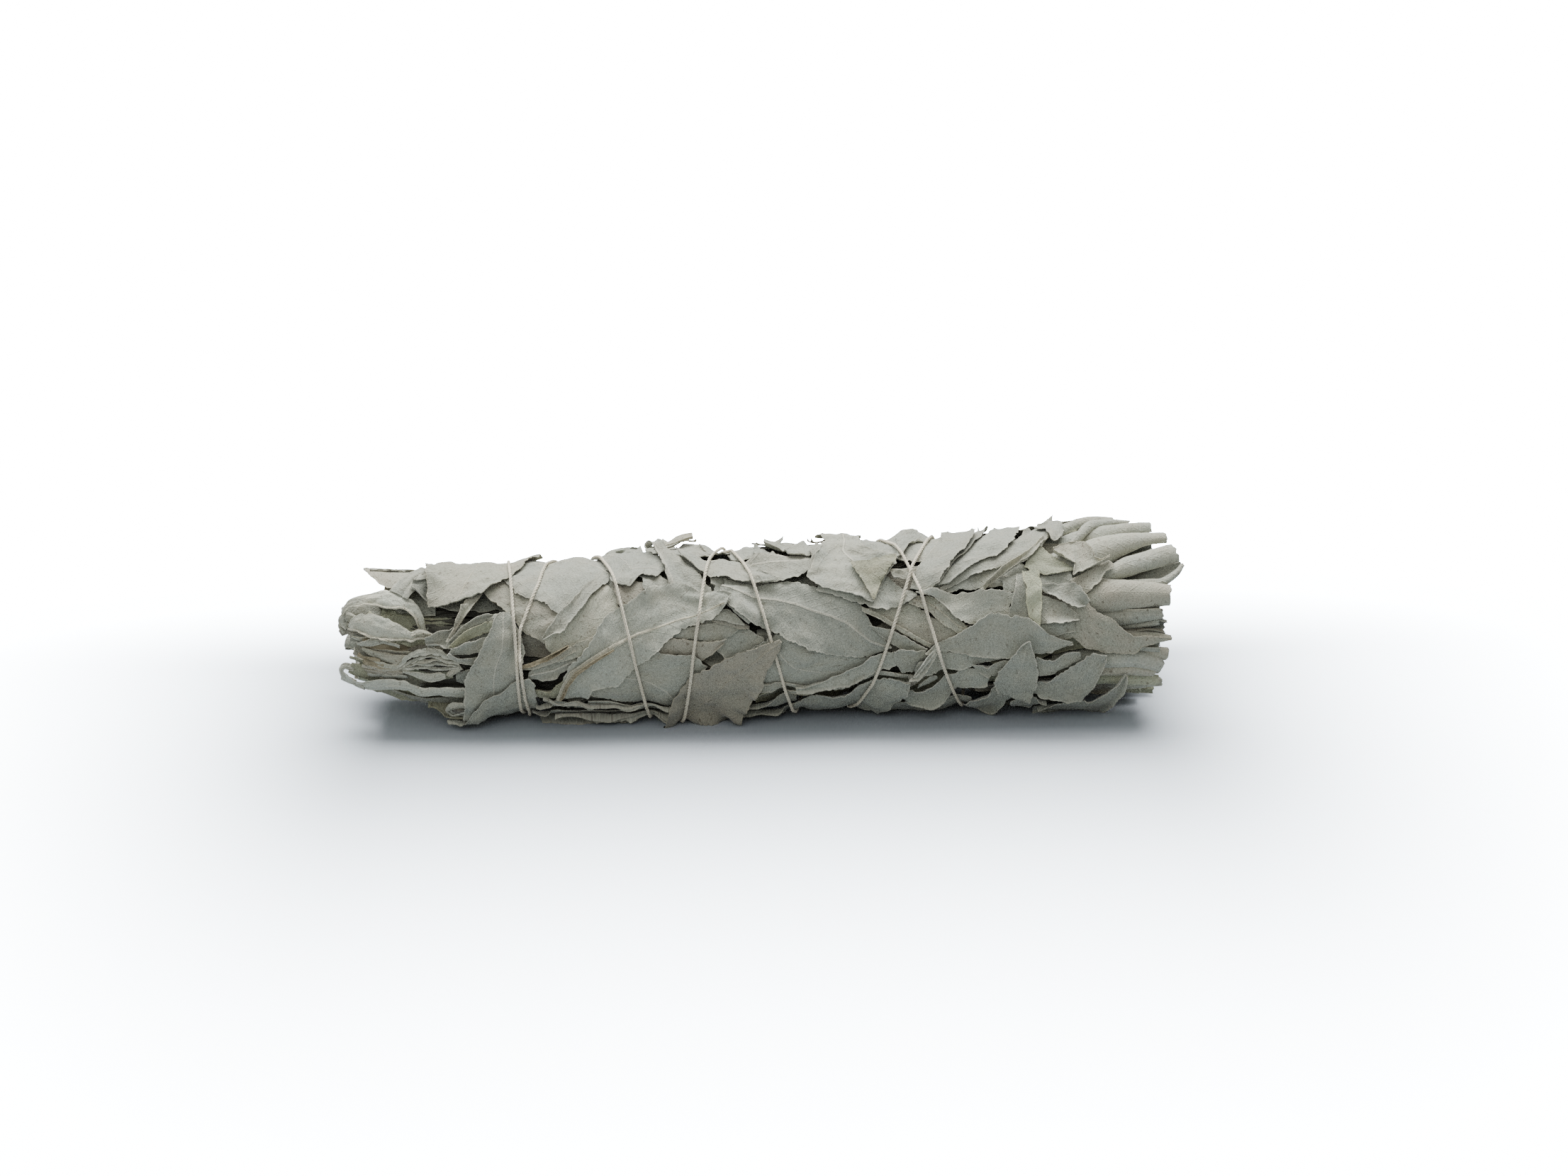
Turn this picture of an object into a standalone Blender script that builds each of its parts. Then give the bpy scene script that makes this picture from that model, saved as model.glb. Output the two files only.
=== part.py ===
"""A bound stick of dried white sage, lying on its side.

Seven leafy sprigs lie side by side: a round one in the middle and six wedge-shaped
ones round it. Single leaves are wrapped over them, one above another, and a cotton
thread runs in slanting turns to the thick end and back to its knot.
Lengths are in millimetres until a mesh is made, and angles are in degrees round the
stick: 0 is the front (-Y), 90 the top, 180 the back and -90 the underside.
"""

import math
import random

import bmesh
import bpy
import numpy as np

MM = 0.001

# The stick. X runs from the thin end, and the thick end is where the leaf tips show.
LENGTH = 225.0
MIDDLE_X = LENGTH / 2
GIRTH_X = (0, 22, 35, 62, 99, 144, 167, 184, 201, 225)
GIRTH_RADIUS = (17.0, 20.5, 21.4, 21.8, 23.2, 23.7, 24.2, 25.2, 26.5, 24.0)
AXIS_START = 18.9
AXIS_RISE = 0.0245

# Wrapped leaves lie in the room between the sprigs' cores and the girth.
WRAP_ROOM = 5.2
UNDER_ROOM = 9.6
LEAST_WRAP_DEPTH = 3.6
BLADE = 0.6
CLEARANCE = 0.42
EASE_SHARE = 0.6
EASE_DROP = 0.06
SETTLE_ROUNDS = 36

# Sprigs
SECTORS = 6
SECTOR = 360 / SECTORS
SECTOR_START = -75.0
SECTOR_MARGIN = 1.6
CENTRE_RADIUS = 6.4
WEDGE_INNER_RADIUS = 7.0
CORE_START_X = 19.0
CORE_END_X = 190.0
STEM_SIDE = 3.0
LEAVES_A_SPRIG = 4
FIRST_LEAF_X = 22.0
LEAF_PITCH = 42.0
LEAF_SIDESTEP = 5.0
LEAF_EDGE_RISE = 0.35
LEAF_BASE_DEPTH = 0.9
LEAF_WIDTH = 12.0
LEAF_LENGTH = 50.0
TIP_ANGLES = (11.0, 30.0, 49.0)
TIP_ROLL = 2.5
TIP_OPENING = 110.0
TIP_BLADE = BLADE + 0.1
FOLD_BLADE = BLADE + 0.2
INNER_TIP_ANGLES = (19.0, 41.0)
INNER_TIP_ROLL = 2.3
CENTRE_TIP_ROLL = 1.7
CENTRE_TIP_RADIUS = 3.4

# Thread
THREAD = 0.95
THREAD_GAP = 0.32
KNOT = 2.6
KNOT_HEIGHT = 0.42 * KNOT
KNOT_WIDTH = 0.6 * KNOT
TAIL = 12.0
POINTS_PER_TURN = 20
TIGHTEN_ROUNDS = 60
TIGHTEN_STEP = 0.05

# The thread's route by hand, as (angle, X): out to the thick end, then back over itself.
ROUTE_OUT = (
    (200, 43), (110, 45), (20, 47), (-70, 49), (-160, 58), (-250, 69), (-340, 77), (-430, 84),
    (-520, 94), (-610, 104), (-700, 114), (-790, 123), (-880, 134), (-970, 146), (-1060, 157),
    (-1150, 168),
)
ROUTE_BACK = (
    (-1240, 168), (-1330, 159.5), (-1420, 147.5), (-1510, 135.4), (-1600, 118), (-1690, 102),
    (-1780, 95), (-1870, 89.6), (-1960, 72), (-2050, 55), (-2095, 51.6), (-2140, 48.4),
    (-2230, 50.2), (-2320, 47),
)

# Wrapped leaves seen from the front, from the innermost to the outermost: name, colour and
# both margins from the base to the tip, as (X, angle) read from the photo.
FRONT_LEAVES = (
    ("left_rib", "grey",
     ((47, 42), (42, 41), (37, 38), (33, 31.5), (29.3, 21)),
     ((47, 34), (41, 35), (36, 32), (32, 26), (28.8, 18.5))),
    ("brown_diamond", "tan",
     ((46, 76), (50, 60), (56, 48), (58.8, 37), (57, 27), (55.2, 17)),
     ((36, 68), (39, 56), (44.2, 43), (46.5, 37), (49, 26), (52, 21), (54.6, 16.5))),
    ("grey_top", "grey",
     ((44, 100), (52, 112), (60, 120), (68, 118), (74, 106), (76, 88), (74, 64)),
     ((42, 82), (45, 68), (47.5, 57), (51.5, 51), (55, 46.5), (58.6, 37), (62.5, 41), (68, 50), (73, 57))),
    ("olive", "olive",
     ((54.8, 21), (58, 27), (63, 40), (68, 53), (71.5, 62), (74, 56)),
     ((54.8, 18), (55.4, 12), (56.8, 6), (62, 10), (69, 18), (74, 34), (74.6, 44))),
    ("narrow_strip", "grey",
     ((54.3, 21), (56, 29), (58.5, 37), (61.5, 45), (65, 57), (69, 69), (72, 74)),
     ((54.5, 19.5), (60, 25), (64, 37), (68, 51), (72, 62))),
    ("tan_flap", "tan",
     ((54.5, 124), (53.5, 106), (50, 91), (46, 75.5), (42, 63), (38.8, 56)),
     ((30, 124), (25, 112), (22.7, 101), (23.1, 75), (24, 47))),
    ("jagged_top", "grey",
     ((70, 122), (79, 122), (84, 106), (86, 92), (87.5, 82), (89.5, 74)),
     ((67, 116), (70, 98), (71.5, 80), (73.5, 56), (78, 58), (81, 65), (84.5, 63), (86.5, 70), (89, 73))),
    ("light_top", "grey",
     ((83, 118), (87, 101), (90, 85), (93.5, 75), (96, 67), (98.5, 57), (101, 44)),
     ((82, 110), (84, 96), (86, 82), (87, 66), (88, 55), (92, 50), (97, 46), (100, 43.5))),
    ("under_hero", "grey",
     ((74, 16), (80, 11), (86, 7), (91, 6), (94.5, 4), (98, -3.5), (95.5, -16), (93, -30)),
     ((64, -6), (65.5, -26), (68, -31), (73, -35), (78, -40), (84, -43), (88, -46))),
    ("lower_middle", "grey",
     ((118, 18), (125, 9), (132, 3), (141, -2), (139, -9), (136, -16)),
     ((109, 8), (111, -8), (113, -22), (120, -24.5), (127, -22), (134, -19))),
    ("middle_hero", "grey",
     ((103, 57), (108, 55), (112, 54), (118, 55), (124, 53), (129, 48), (134, 45), (138, 39), (140, 29),
      (142, 19), (144.5, 11), (147, 4)),
     ((101, 42), (104, 36), (108, 28), (112, 21.5), (116, 17), (120, 12), (124, 7), (129, 2), (134, 0),
      (140, -1.5), (144, 0.5), (146.8, 3))),
    ("middle_lobe", "grey",
     ((132, 64), (142, 64), (147, 53), (149, 48.5), (151.5, 45), (153.8, 40.5)),
     ((127, 46), (134, 39), (138, 34.5), (142, 31), (146, 30), (149.5, 32.5), (152, 36), (153.8, 39))),
    ("long_top", "grey",
     ((106, 80), (112, 79), (118, 79.5), (122, 81), (126, 79.5), (126.6, 74)),
     ((108, 56), (112, 54.5), (116, 53.5), (120, 55), (123, 58), (125.8, 64))),
    ("folded_diamond", "grey",
     ((141, 118), (140, 100), (140, 84), (143.5, 77), (149.6, 73), (149.3, 66), (147, 57), (145, 49),
      (142.3, 35.5)),
     ((128, 116), (130.3, 94), (128, 76), (125.5, 61), (124.7, 55), (127, 48.5), (131, 44.5), (136, 41),
      (141.5, 34.5))),
    ("left_hero", "grey",
     ((58.8, -22), (59.5, -10), (61, 0), (64, 8), (67, 17), (69, 27), (71, 35), (74, 40.5), (77, 44),
      (80, 49), (84, 54), (89, 55), (93, 54), (97, 50), (101, 46.5), (104.4, 43)),
     ((59, -29), (62, -32), (66, -30), (67.3, -20), (71, -18.5), (74, -18), (77, -9), (80, -2.5),
      (84, 7), (88, 17), (92, 23), (96, 26), (100, 29), (102.5, 35), (104.2, 42))),
    ("grey_upright", "grey",
     ((47.5, -46), (48.3, -20), (48.6, -2), (49.8, 10), (49.1, 20), (47.7, 30), (46.8, 35), (45.6, 41.5)),
     ((32.6, -44), (33, -22), (33.2, -11), (35, 3), (38, 15), (40.2, 27), (41.5, 35.5), (43, 40.5))),
    ("low_fold", "grey",
     ((52.1, -88), (45, -88), (38, -84), (32, -74), (29, -62), (28.3, -50)),
     ((52, -13), (50.3, -9.5), (46, -13.5), (42.5, -20), (38, -24), (35.3, -34), (33, -45), (28.5, -49))),
    ("fan_inner", "grey",
     ((160, 43), (166, 58), (174, 72), (182, 86), (188, 104), (193, 112)),
     ((160, 40.5), (165, 45.5), (169, 50.5), (174, 54), (179, 57), (184, 60), (187, 69), (190, 80),
      (193, 94))),
    ("fan_third", "grey",
     ((158, 44), (164, 64), (170, 84), (175, 104), (178, 122)),
     ((162.5, 45), (165, 50), (168, 56), (171, 60), (173, 63), (175.6, 63), (178, 68), (180.6, 78),
      (182.3, 90), (184, 108))),
    ("fan_second", "grey",
     ((156, 44), (162, 62), (167, 82), (171, 104), (173, 122)),
     ((159.6, 44.5), (161.2, 50), (163.8, 60), (166.5, 68), (169.8, 77), (172.2, 88), (173.8, 98),
      (175.6, 116))),
    ("fan_outer", "grey",
     ((151.8, 44), (154, 58), (156.5, 69), (159, 80), (161.6, 94), (163, 122)),
     ((157.6, 40), (160, 46), (161.6, 52), (163.2, 57.5), (165.6, 66), (168.2, 75), (169.9, 81),
      (171.1, 92), (171.6, 118))),
    ("fan_tip", "tan",
     ((170.5, 41), (174, 48), (179, 57), (184, 64), (188, 76), (191, 88)),
     ((171.3, 39), (173, 43), (176.5, 48), (178.5, 51.5), (182.5, 57), (185, 61), (188, 71), (190.2, 80))),
    ("pink_end", "tan",
     ((190.7, 66), (192.6, 71), (196.5, 74), (199.6, 69), (201.2, 62.5), (201.6, 57), (203.2, 55),
      (205.6, 58)),
     ((190.9, 63), (193.5, 57), (196, 51.5), (195, 44), (199, 48.5), (202.5, 52.5), (205.4, 55.5))),
    ("brown_end", "brown",
     ((190, 24), (197, 34), (199.5, 28.5), (201.2, 23.5), (205, 19.5), (207.6, 13), (211, 7.2),
      (216, 6.4), (221.6, 4.2)),
     ((189, 6), (195, 7), (198, 1), (203, -2.5), (208, -4.6), (212, -4.6), (213.6, -1.6), (218, 1),
      (221.5, 2.8))),
    ("end_lower", "grey",
     ((185.5, 17.5), (190, 17.5), (195.3, 18)),
     ((186, 8), (190.5, 9), (195.3, 12))),
    ("end_upper", "grey",
     ((185, 41), (191, 41.5), (196, 40.5), (198, 34), (199.3, 29)),
     ((185.5, 40), (188.5, 35), (192, 29.5), (196, 25.2), (197.8, 26))),
    ("fold_band", "grey",
     ((153.3, 40), (157, 41), (162, 39), (168, 39.5), (174, 39.5), (179.6, 38)),
     ((154.6, 38.5), (158, 36.5), (161, 31), (163.2, 24), (165, 20), (170, 17), (177, 18))),
    ("low_band_left", "grey",
     ((121.3, -22), (126, -18.5), (130, -15), (135, -9.5), (140, -2.5), (143.5, 0.5), (147.2, 1.8)),
     ((121.6, -25), (126, -23.5), (131, -21.5), (136, -20), (140, -16.5), (144, -13.5), (148.9, -8.5))),
    ("low_band_right", "grey",
     ((145, -33), (150, -29.5), (156, -25.5), (161, -20.5), (164, -17), (166.3, -11), (169, -12.5),
      (173.2, -20.5)),
     ((146.5, -40), (152, -45), (158, -45.5), (163, -42), (165, -34), (169, -29.5), (172.6, -25))),
    ("low_band_middle", "grey",
     ((120.5, -47), (124, -37), (127, -33), (131, -31), (135, -27), (139, -22.5), (143, -20),
      (148, -18), (151.8, -18)),
     ((121, -64), (129, -66), (138, -64), (144.5, -60), (147, -52), (149.6, -42), (151.2, -33),
      (151.8, -21))),
    ("right_hero", "grey",
     ((155.5, 1.5), (158, 5.5), (161, 9), (164, 12.5), (167, 17), (170, 21.5), (172.8, 25.5), (175, 25),
      (178, 23), (182, 22), (184.5, 18.5), (188, 12), (191, 8.5), (194.6, 5.5)),
     ((155.8, 0.5), (159, 0.3), (163, -0.3), (168, -2.2), (173, -3.7), (178, -4.4), (182, -4),
      (187, -2.8), (190, -1), (193, 2), (194.8, 4.5))),
    ("low_leaf_end", "grey",
     ((185.5, -25), (190, -17.5), (194, -10.5), (197.5, -4.5), (200.5, -0.5), (203.8, -3.2)),
     ((184, -35.5), (190, -38.8), (194, -40.8), (198.6, -40.4), (200.8, -30), (202.4, -18), (203.7, -6))),
    ("upright_point", "grey",
     ((175.5, -32), (174, -22), (174.8, -14), (176.5, -7), (178.5, -1), (181, 4.5), (183, 7.2)),
     ((184.4, -41), (185.7, -28), (186, -15), (185.1, -5), (184, 2), (183.3, 7))),
)
# This one lies over the outgoing thread and under the returning one.
OVER_THREAD_LEAF = (
    "brown_tip", "tan",
    ((86, -54), (87, -40), (89, -28), (91.5, -20), (93, -14), (96, -6), (99, -1), (103, 3),
     (107, 7), (113, 11), (117, 13.5)),
    ((97, -64), (104, -60), (107, -50), (108.2, -42), (110, -33), (111.8, -24), (113.5, -13),
     (114.5, -6), (115.8, 1), (117.3, 7), (117.4, 12)),
)
LEAST_WIDTH = 1.0
ROW_PITCH = 6.6
COLUMN_PITCH = 5.0

# Rolled tips that the photo shows, by sprig: root and end as (X, angle, radius), roll and turn.
FRONT_TIPS = {
    1: (
        ((186, -21, 16), (219, -26, 21.4), 2.6, 0),
        ((186, -38, 15), (221, -42, 20.2), 2.5, 10),
        ((186, -56, 13.5), (220, -58, 18.6), 2.4, -20),
    ),
    2: (
        ((186, 33, 16), (222, 34, 22.0), 3.6, 0),
        ((186, 18, 16), (220, 18, 20.4), 2.6, 0),
        ((188, 6, 14), (220.4, 6, 17.6), 2.6, 180),
        ((186, -5, 15), (221.3, -8, 18.8), 2.3, 20),
    ),
    3: (
        ((184, 66, 16.5), (222, 80, 23.0), 3.6, 0),
        ((186, 53, 16), (223.4, 60, 22.4), 2.7, 0),
        ((184, 90, 17), (218.5, 90, 23.4), 2.8, 10),
        ((184, 99, 18), (207.7, 101, 27.0), 1.7, -20),
        ((188, 62, 13), (224.5, 58, 18.0), 2.8, 165),
    ),
}
# Leaf ends at the thin end that the photo shows, by sprig: the middle line as (X, angle,
# radius) places, and the width at each.
FRONT_FOLDS = {
    1: (
        (((33, -27, 17.6), (25, -26, 17.8), (18, -24, 17.6), (11, -30, 17), (5, -42, 16.4),
          (0.6, -46, 15.4)),
         (4, 4, 3.4, 4.6, 4, 4.4)),
        (((33, -54, 15.5), (22, -56, 16.4), (14, -60, 15.6), (9, -64, 14.8)), (7, 7, 6, 4)),
        (((30, -44, 11), (16, -44, 11), (6, -42, 10.4)), (7, 7, 5)),
    ),
    2: (
        (((25.6, 18, 15), (25.2, 22, 17), (22.4, 26, 17.8), (17, 26.5, 18), (10.8, 28, 17.8),
          (6, 28, 16.8), (2.8, 22, 15), (4.6, 14, 14.4), (10, 12, 14.8), (14, 16, 15)),
         (2.4, 3, 3.6, 4.4, 6, 5.4, 4.4, 2.6, 2.4, 2.4)),
        (((31, -4, 15.6), (17.5, -2, 16.2), (11, -3, 15.8), (6, -2, 15.2)), (6, 7, 6, 5)),
        (((32, 4, 15), (25, 7, 17.2), (19, 3, 17.4), (15.5, -6, 16.6)), (4, 5, 3, 2)),
    ),
    3: (
        (((23.6, 51, 14.4), (22.4, 52, 17.4), (19, 53, 18.4), (13, 54, 18.4), (8, 53, 17.6),
          (3.2, 52, 16.2), (0.8, 51, 13.8), (5, 51, 12)),
         (2.4, 2.6, 3.4, 6, 6, 5, 4.4, 4.4)),
        (((32, 84, 18.6), (20, 86, 19), (13, 84, 18.1), (6.8, 94, 17.2)), (8, 8, 7, 2)),
        (((26, 94, 19.6), (21.4, 86, 20.2), (18.4, 74, 19.6), (16, 62, 18.4)), (3, 3.4, 3.4, 3)),
    ),
}

# The back and the underside are covered by a rule: rows of large leaves, set like tiles.
BACK_SEED = 11
BACK_ROWS = (130, 166, 202, 238)
BACK_ROW_LEAVES = 3
BACK_PITCH = 56.0
BACK_LENGTH = 68.0
BACK_WIDTH = 19.0
# The stick rests on these leaves, which lie between the thread's turns: middle X and length.
REST_LEAVES = ((67.0, 22.0), (105.5, 26.0), (150.5, 24.0), (186.0, 24.0))
REST_WIDTH = 16.0

# The height map holds how far the top of what is laid so far stands above the cores.
MAP_LOW_X, MAP_HIGH_X, MAP_STEP_X = -10.0, 240.0, 1.0
MAP_STEP_ANGLE = 2.5
MAP_CELLS_X = int((MAP_HIGH_X - MAP_LOW_X) / MAP_STEP_X) + 1
MAP_CELLS_ROUND = int(360 / MAP_STEP_ANGLE)
cover = np.zeros((MAP_CELLS_X, MAP_CELLS_ROUND))

LEAF_GREY = (0.32, 0.325, 0.29)
LEAF_TAN = (0.40, 0.38, 0.32)
LEAF_OLIVE = (0.30, 0.30, 0.22)
THREAD_CREAM = (0.68, 0.65, 0.54)


def clear_scene():
    for obj in list(bpy.data.objects):
        bpy.data.objects.remove(obj)


def axis_height(x):
    return AXIS_START + AXIS_RISE * np.asarray(x, float)


def girth(x):
    return np.interp(x, GIRTH_X, GIRTH_RADIUS)


def down(angle):
    """How much a direction points down, kept above zero so that it can divide."""
    return np.maximum(-np.sin(np.radians(angle)), 1e-3)


def core_radius(x, angle):
    """The cores' outer radius: the girth less the wrapping, flattened underneath."""
    flat = (axis_height(x) - UNDER_ROOM) / down(angle)
    return np.minimum(girth(x) - WRAP_ROOM, flat)


def to_point(x, angle, radius):
    turn = np.radians(angle)
    x, radius = np.broadcast_arrays(np.asarray(x, float), radius)
    return np.stack([x, -radius * np.cos(turn), axis_height(x) + radius * np.sin(turn)], -1)


def from_point(point):
    rise = point[..., 2] - axis_height(point[..., 0])
    angle = np.degrees(np.arctan2(rise, -point[..., 1]))
    return point[..., 0], angle, np.hypot(point[..., 1], rise)


def map_cell(x, angle):
    row = np.rint((x - MAP_LOW_X) / MAP_STEP_X).astype(int)
    column = np.rint(np.mod(angle, 360) / MAP_STEP_ANGLE).astype(int)
    return np.clip(row, 1, MAP_CELLS_X - 2), column % MAP_CELLS_ROUND


def highest_near(x, angle):
    """The highest cover in the cell and its eight neighbours."""
    row, column = map_cell(x, angle)
    near = [(i, j) for i in (-1, 0, 1) for j in (-1, 0, 1)]
    return np.maximum.reduce([cover[row + i, (column + j) % MAP_CELLS_ROUND] for i, j in near])


def add_cover(points):
    x, angle, radius = from_point(points)
    np.maximum.at(cover, map_cell(x, angle), radius - core_radius(x, angle))


def triangle_weights(rows, columns, row_parts, column_parts):
    """Weights that turn a grid's corners into points spread over its triangles."""
    lines = []
    for i in range((rows - 1) * row_parts + 1):
        for j in range((columns - 1) * column_parts + 1):
            row = min(i // row_parts, rows - 2)
            column = min(j // column_parts, columns - 2)
            v = i / row_parts - row
            u = j / column_parts - column
            line = np.zeros((rows, columns))
            if u + v <= 1:
                line[row, column] = 1 - u - v
                line[row + 1, column] = v
                line[row, column + 1] = u
            else:
                line[row + 1, column + 1] = u + v - 1
                line[row + 1, column] = 1 - u
                line[row, column + 1] = 1 - v
            lines.append(line.ravel())
    return np.array(lines)


def grid_weights(points, spacing):
    """Weights whose points are no further apart than the spacing."""
    along = np.linalg.norm(np.diff(points, axis=0), axis=-1).max()
    across = np.linalg.norm(np.diff(points, axis=1), axis=-1).max()
    parts = [max(1, math.ceil(length / spacing)) for length in (along, across)]
    return triangle_weights(points.shape[0], points.shape[1], *parts)


def leaf_plan(start, end, width, bend, base_cut, tip_cut, along, across):
    """X and angle of a leaf's grid, from its base to its tip and across its blade."""
    radius = float(girth((start[0] + end[0]) / 2))
    per_degree = math.radians(1) * radius
    base = np.array([start[0], start[1] * per_degree])
    tip = np.array([end[0], end[1] * per_degree])
    step = tip - base
    side = np.array([-step[1], step[0]]) / np.hypot(*step)
    t = np.linspace(0, 1, along)
    rib = base + np.outer(t, step) + np.outer(4 * bend * t * (1 - t), side)
    shape = np.sin(math.pi * t**0.85) ** 0.7
    shape = np.maximum(shape, base_cut * (1 - t / 0.4))
    shape = np.maximum(shape, tip_cut * (t - 0.6) / 0.4)
    shape = np.maximum(shape, 0.07) * width / 2
    across_at = np.linspace(-1, 1, across)
    plan = rib[:, None] + shape[:, None, None] * across_at[None, :, None] * side
    return plan[..., 0], plan[..., 1] / per_degree


def evenly(line, count):
    """Evenly spaced places along a line given by a few, and its length."""
    steps = np.hypot(*np.diff(line, axis=0).T)
    run = np.concatenate([[0], np.cumsum(steps)])
    at = np.linspace(0, run[-1], count)
    return np.stack([np.interp(at, run, line[:, k]) for k in range(2)], -1), run[-1]


def plan_between(left, right):
    """X and angle of a leaf's grid between its two margins."""
    left, right = np.array(left, float), np.array(right, float)
    radius = float(girth((left[:, 0].mean() + right[:, 0].mean()) / 2))
    scale = np.array([1, math.radians(1) * radius])
    length = max(evenly(left * scale, 2)[1], evenly(right * scale, 2)[1])
    along = int(np.clip(round(length / ROW_PITCH) + 1, 5, 9))
    left, right = evenly(left * scale, along)[0], evenly(right * scale, along)[0]
    width = np.linalg.norm(right - left, axis=1)[:, None]
    across = int(np.clip(round(width.max() / COLUMN_PITCH) + 1, 3, 5))
    spare = (right - left) / width * np.maximum(LEAST_WIDTH - width, 0) / 2
    left, right = left - spare, right + spare
    share = np.linspace(0, 1, across)[None, :, None]
    plan = (left[:, None] * (1 - share) + right[:, None] * share) / scale
    return plan[..., 0], plan[..., 1]


def ease(height):
    """Draws each corner towards its neighbours' mean and a little down, as a leaf under tension."""
    wide = np.pad(height, 1, mode="edge")
    mean = (wide[:-2, 1:-1] + wide[2:, 1:-1] + wide[1:-1, :-2] + wide[1:-1, 2:]) / 4
    return (1 - EASE_SHARE) * height + EASE_SHARE * mean - EASE_DROP


def least_height(x, angle):
    """Wrapped leaves keep within this depth of the girth, also where few lie under them."""
    depth = LEAST_WRAP_DEPTH
    radius = np.minimum(girth(x) - depth, (axis_height(x) - depth) / down(angle))
    return radius - core_radius(x, angle)


def settle(x, angle, weights, rise, least=0.0):
    """The lowest smooth heights that keep the blade's middle the given rise over the cover."""
    height = np.zeros(x.shape) + least
    share = weights / np.sum(weights**2, axis=1)[:, None]
    for turn in range(SETTLE_ROUNDS + 4):
        if turn < SETTLE_ROUNDS:
            height = np.maximum(ease(height), least)
        corners = to_point(x, angle, core_radius(x, angle) + height).reshape(-1, 3)
        at_x, at_angle, at_radius = from_point(weights @ corners)
        floor = highest_near(at_x, at_angle) + rise
        lack = np.maximum(floor - (at_radius - core_radius(at_x, at_angle)), 0)
        height = height + (share * lack[:, None]).max(axis=0).reshape(x.shape)
    return height


def blade_solid(middle, thickness):
    """A closed blade of even thickness round a grid of points, alike on both faces."""
    normal = np.cross(np.gradient(middle, axis=0), np.gradient(middle, axis=1))
    normal /= np.linalg.norm(normal, axis=-1, keepdims=True)
    outward = middle - np.stack(
        [middle[..., 0], np.zeros(middle.shape[:2]), axis_height(middle[..., 0])], -1
    )
    if np.sum(normal * outward) < 0:
        normal = -normal
    outer = middle + normal * thickness / 2
    inner = middle - normal * thickness / 2
    return outer, inner


def blade_faces(rows, columns):
    """Triangles over both faces of a blade and round its rim."""
    count = rows * columns
    faces = []
    for i in range(rows - 1):
        for j in range(columns - 1):
            a = i * columns + j
            b, c, d = a + columns, a + 1, a + columns + 1
            faces += [(a, b, c), (d, c, b)]
            faces += [(a + count, c + count, b + count), (d + count, b + count, c + count)]
    rim = [i * columns for i in range(rows)]
    rim += [(rows - 1) * columns + j for j in range(1, columns)]
    rim += [i * columns + columns - 1 for i in range(rows - 2, -1, -1)]
    rim += list(range(columns - 2, 0, -1))
    for a, b in zip(rim, rim[1:] + rim[:1]):
        faces += [(a, a + count, b), (b, a + count, b + count)]
    return faces


def make_material(name, colour, roughness):
    material = bpy.data.materials.new(name)
    material.use_nodes = True
    shader = material.node_tree.nodes["Principled BSDF"]
    shader.inputs["Base Color"].default_value = (*colour, 1)
    shader.inputs["Roughness"].default_value = roughness
    shader.inputs["Metallic"].default_value = 0
    return material


def make_object(name, points, faces, material=None):
    """An object from points in the stick's own millimetres, moved to the part's origin."""
    points = np.asarray(points, float).reshape(-1, 3)
    points = (points - np.array([MIDDLE_X, 0, 0])) * MM
    mesh = bpy.data.meshes.new(name)
    mesh.from_pydata(points.tolist(), [], faces)
    work = bmesh.new()
    work.from_mesh(mesh)
    bmesh.ops.recalc_face_normals(work, faces=work.faces)
    work.to_mesh(mesh)
    work.free()
    if material:
        mesh.materials.append(material)
    obj = bpy.data.objects.new(name, mesh)
    bpy.context.scene.collection.objects.link(obj)
    return obj


def shade(obj):
    obj.data.shade_smooth()
    obj.data.set_sharp_from_angle(angle=math.radians(50))


def keep_body(mesh):
    """Keeps the largest closed body, which drops loose scraps and fills sealed hollows."""
    work = bmesh.new()
    work.from_mesh(mesh)
    left = set(work.verts)
    bodies = []
    while left:
        body = set()
        reached = [left.pop()]
        while reached:
            vertex = reached.pop()
            body.add(vertex)
            near = {edge.other_vert(vertex) for edge in vertex.link_edges} & left
            left -= near
            reached += near
        bodies.append(body)
    bodies.sort(key=len)
    loose = [vertex for body in bodies[:-1] for vertex in body]
    bmesh.ops.delete(work, geom=loose, context="VERTS")
    work.to_mesh(mesh)
    work.free()


def fuse(base, pieces):
    """Unites the pieces with the base object, and removes them."""
    group = bpy.data.collections.new(base.name + "_pieces")
    bpy.context.scene.collection.children.link(group)
    for piece in pieces:
        bpy.context.scene.collection.objects.unlink(piece)
        group.objects.link(piece)
    union = base.modifiers.new("Union", "BOOLEAN")
    union.operation = "UNION"
    union.operand_type = "COLLECTION"
    union.collection = group
    union.solver = "MANIFOLD"
    graph = bpy.context.evaluated_depsgraph_get()
    united = bpy.data.meshes.new_from_object(base.evaluated_get(graph))
    base.modifiers.remove(union)
    keep_body(united)
    base.data = united
    for piece in pieces:
        bpy.data.objects.remove(piece)
    bpy.data.collections.remove(group)


def ring_solid(rings):
    """Points and faces of a solid through rings with the same number of points, with flat ends."""
    rows, columns = len(rings), len(rings[0])
    faces = []
    for i in range(rows - 1):
        for j in range(columns):
            a, b = i * columns + j, i * columns + (j + 1) % columns
            faces += [(a, b, b + columns), (a, b + columns, a + columns)]
    faces.append(tuple(range(columns)))
    faces.append(tuple(range((rows - 1) * columns, rows * columns)))
    return np.concatenate(rings), faces


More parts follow.
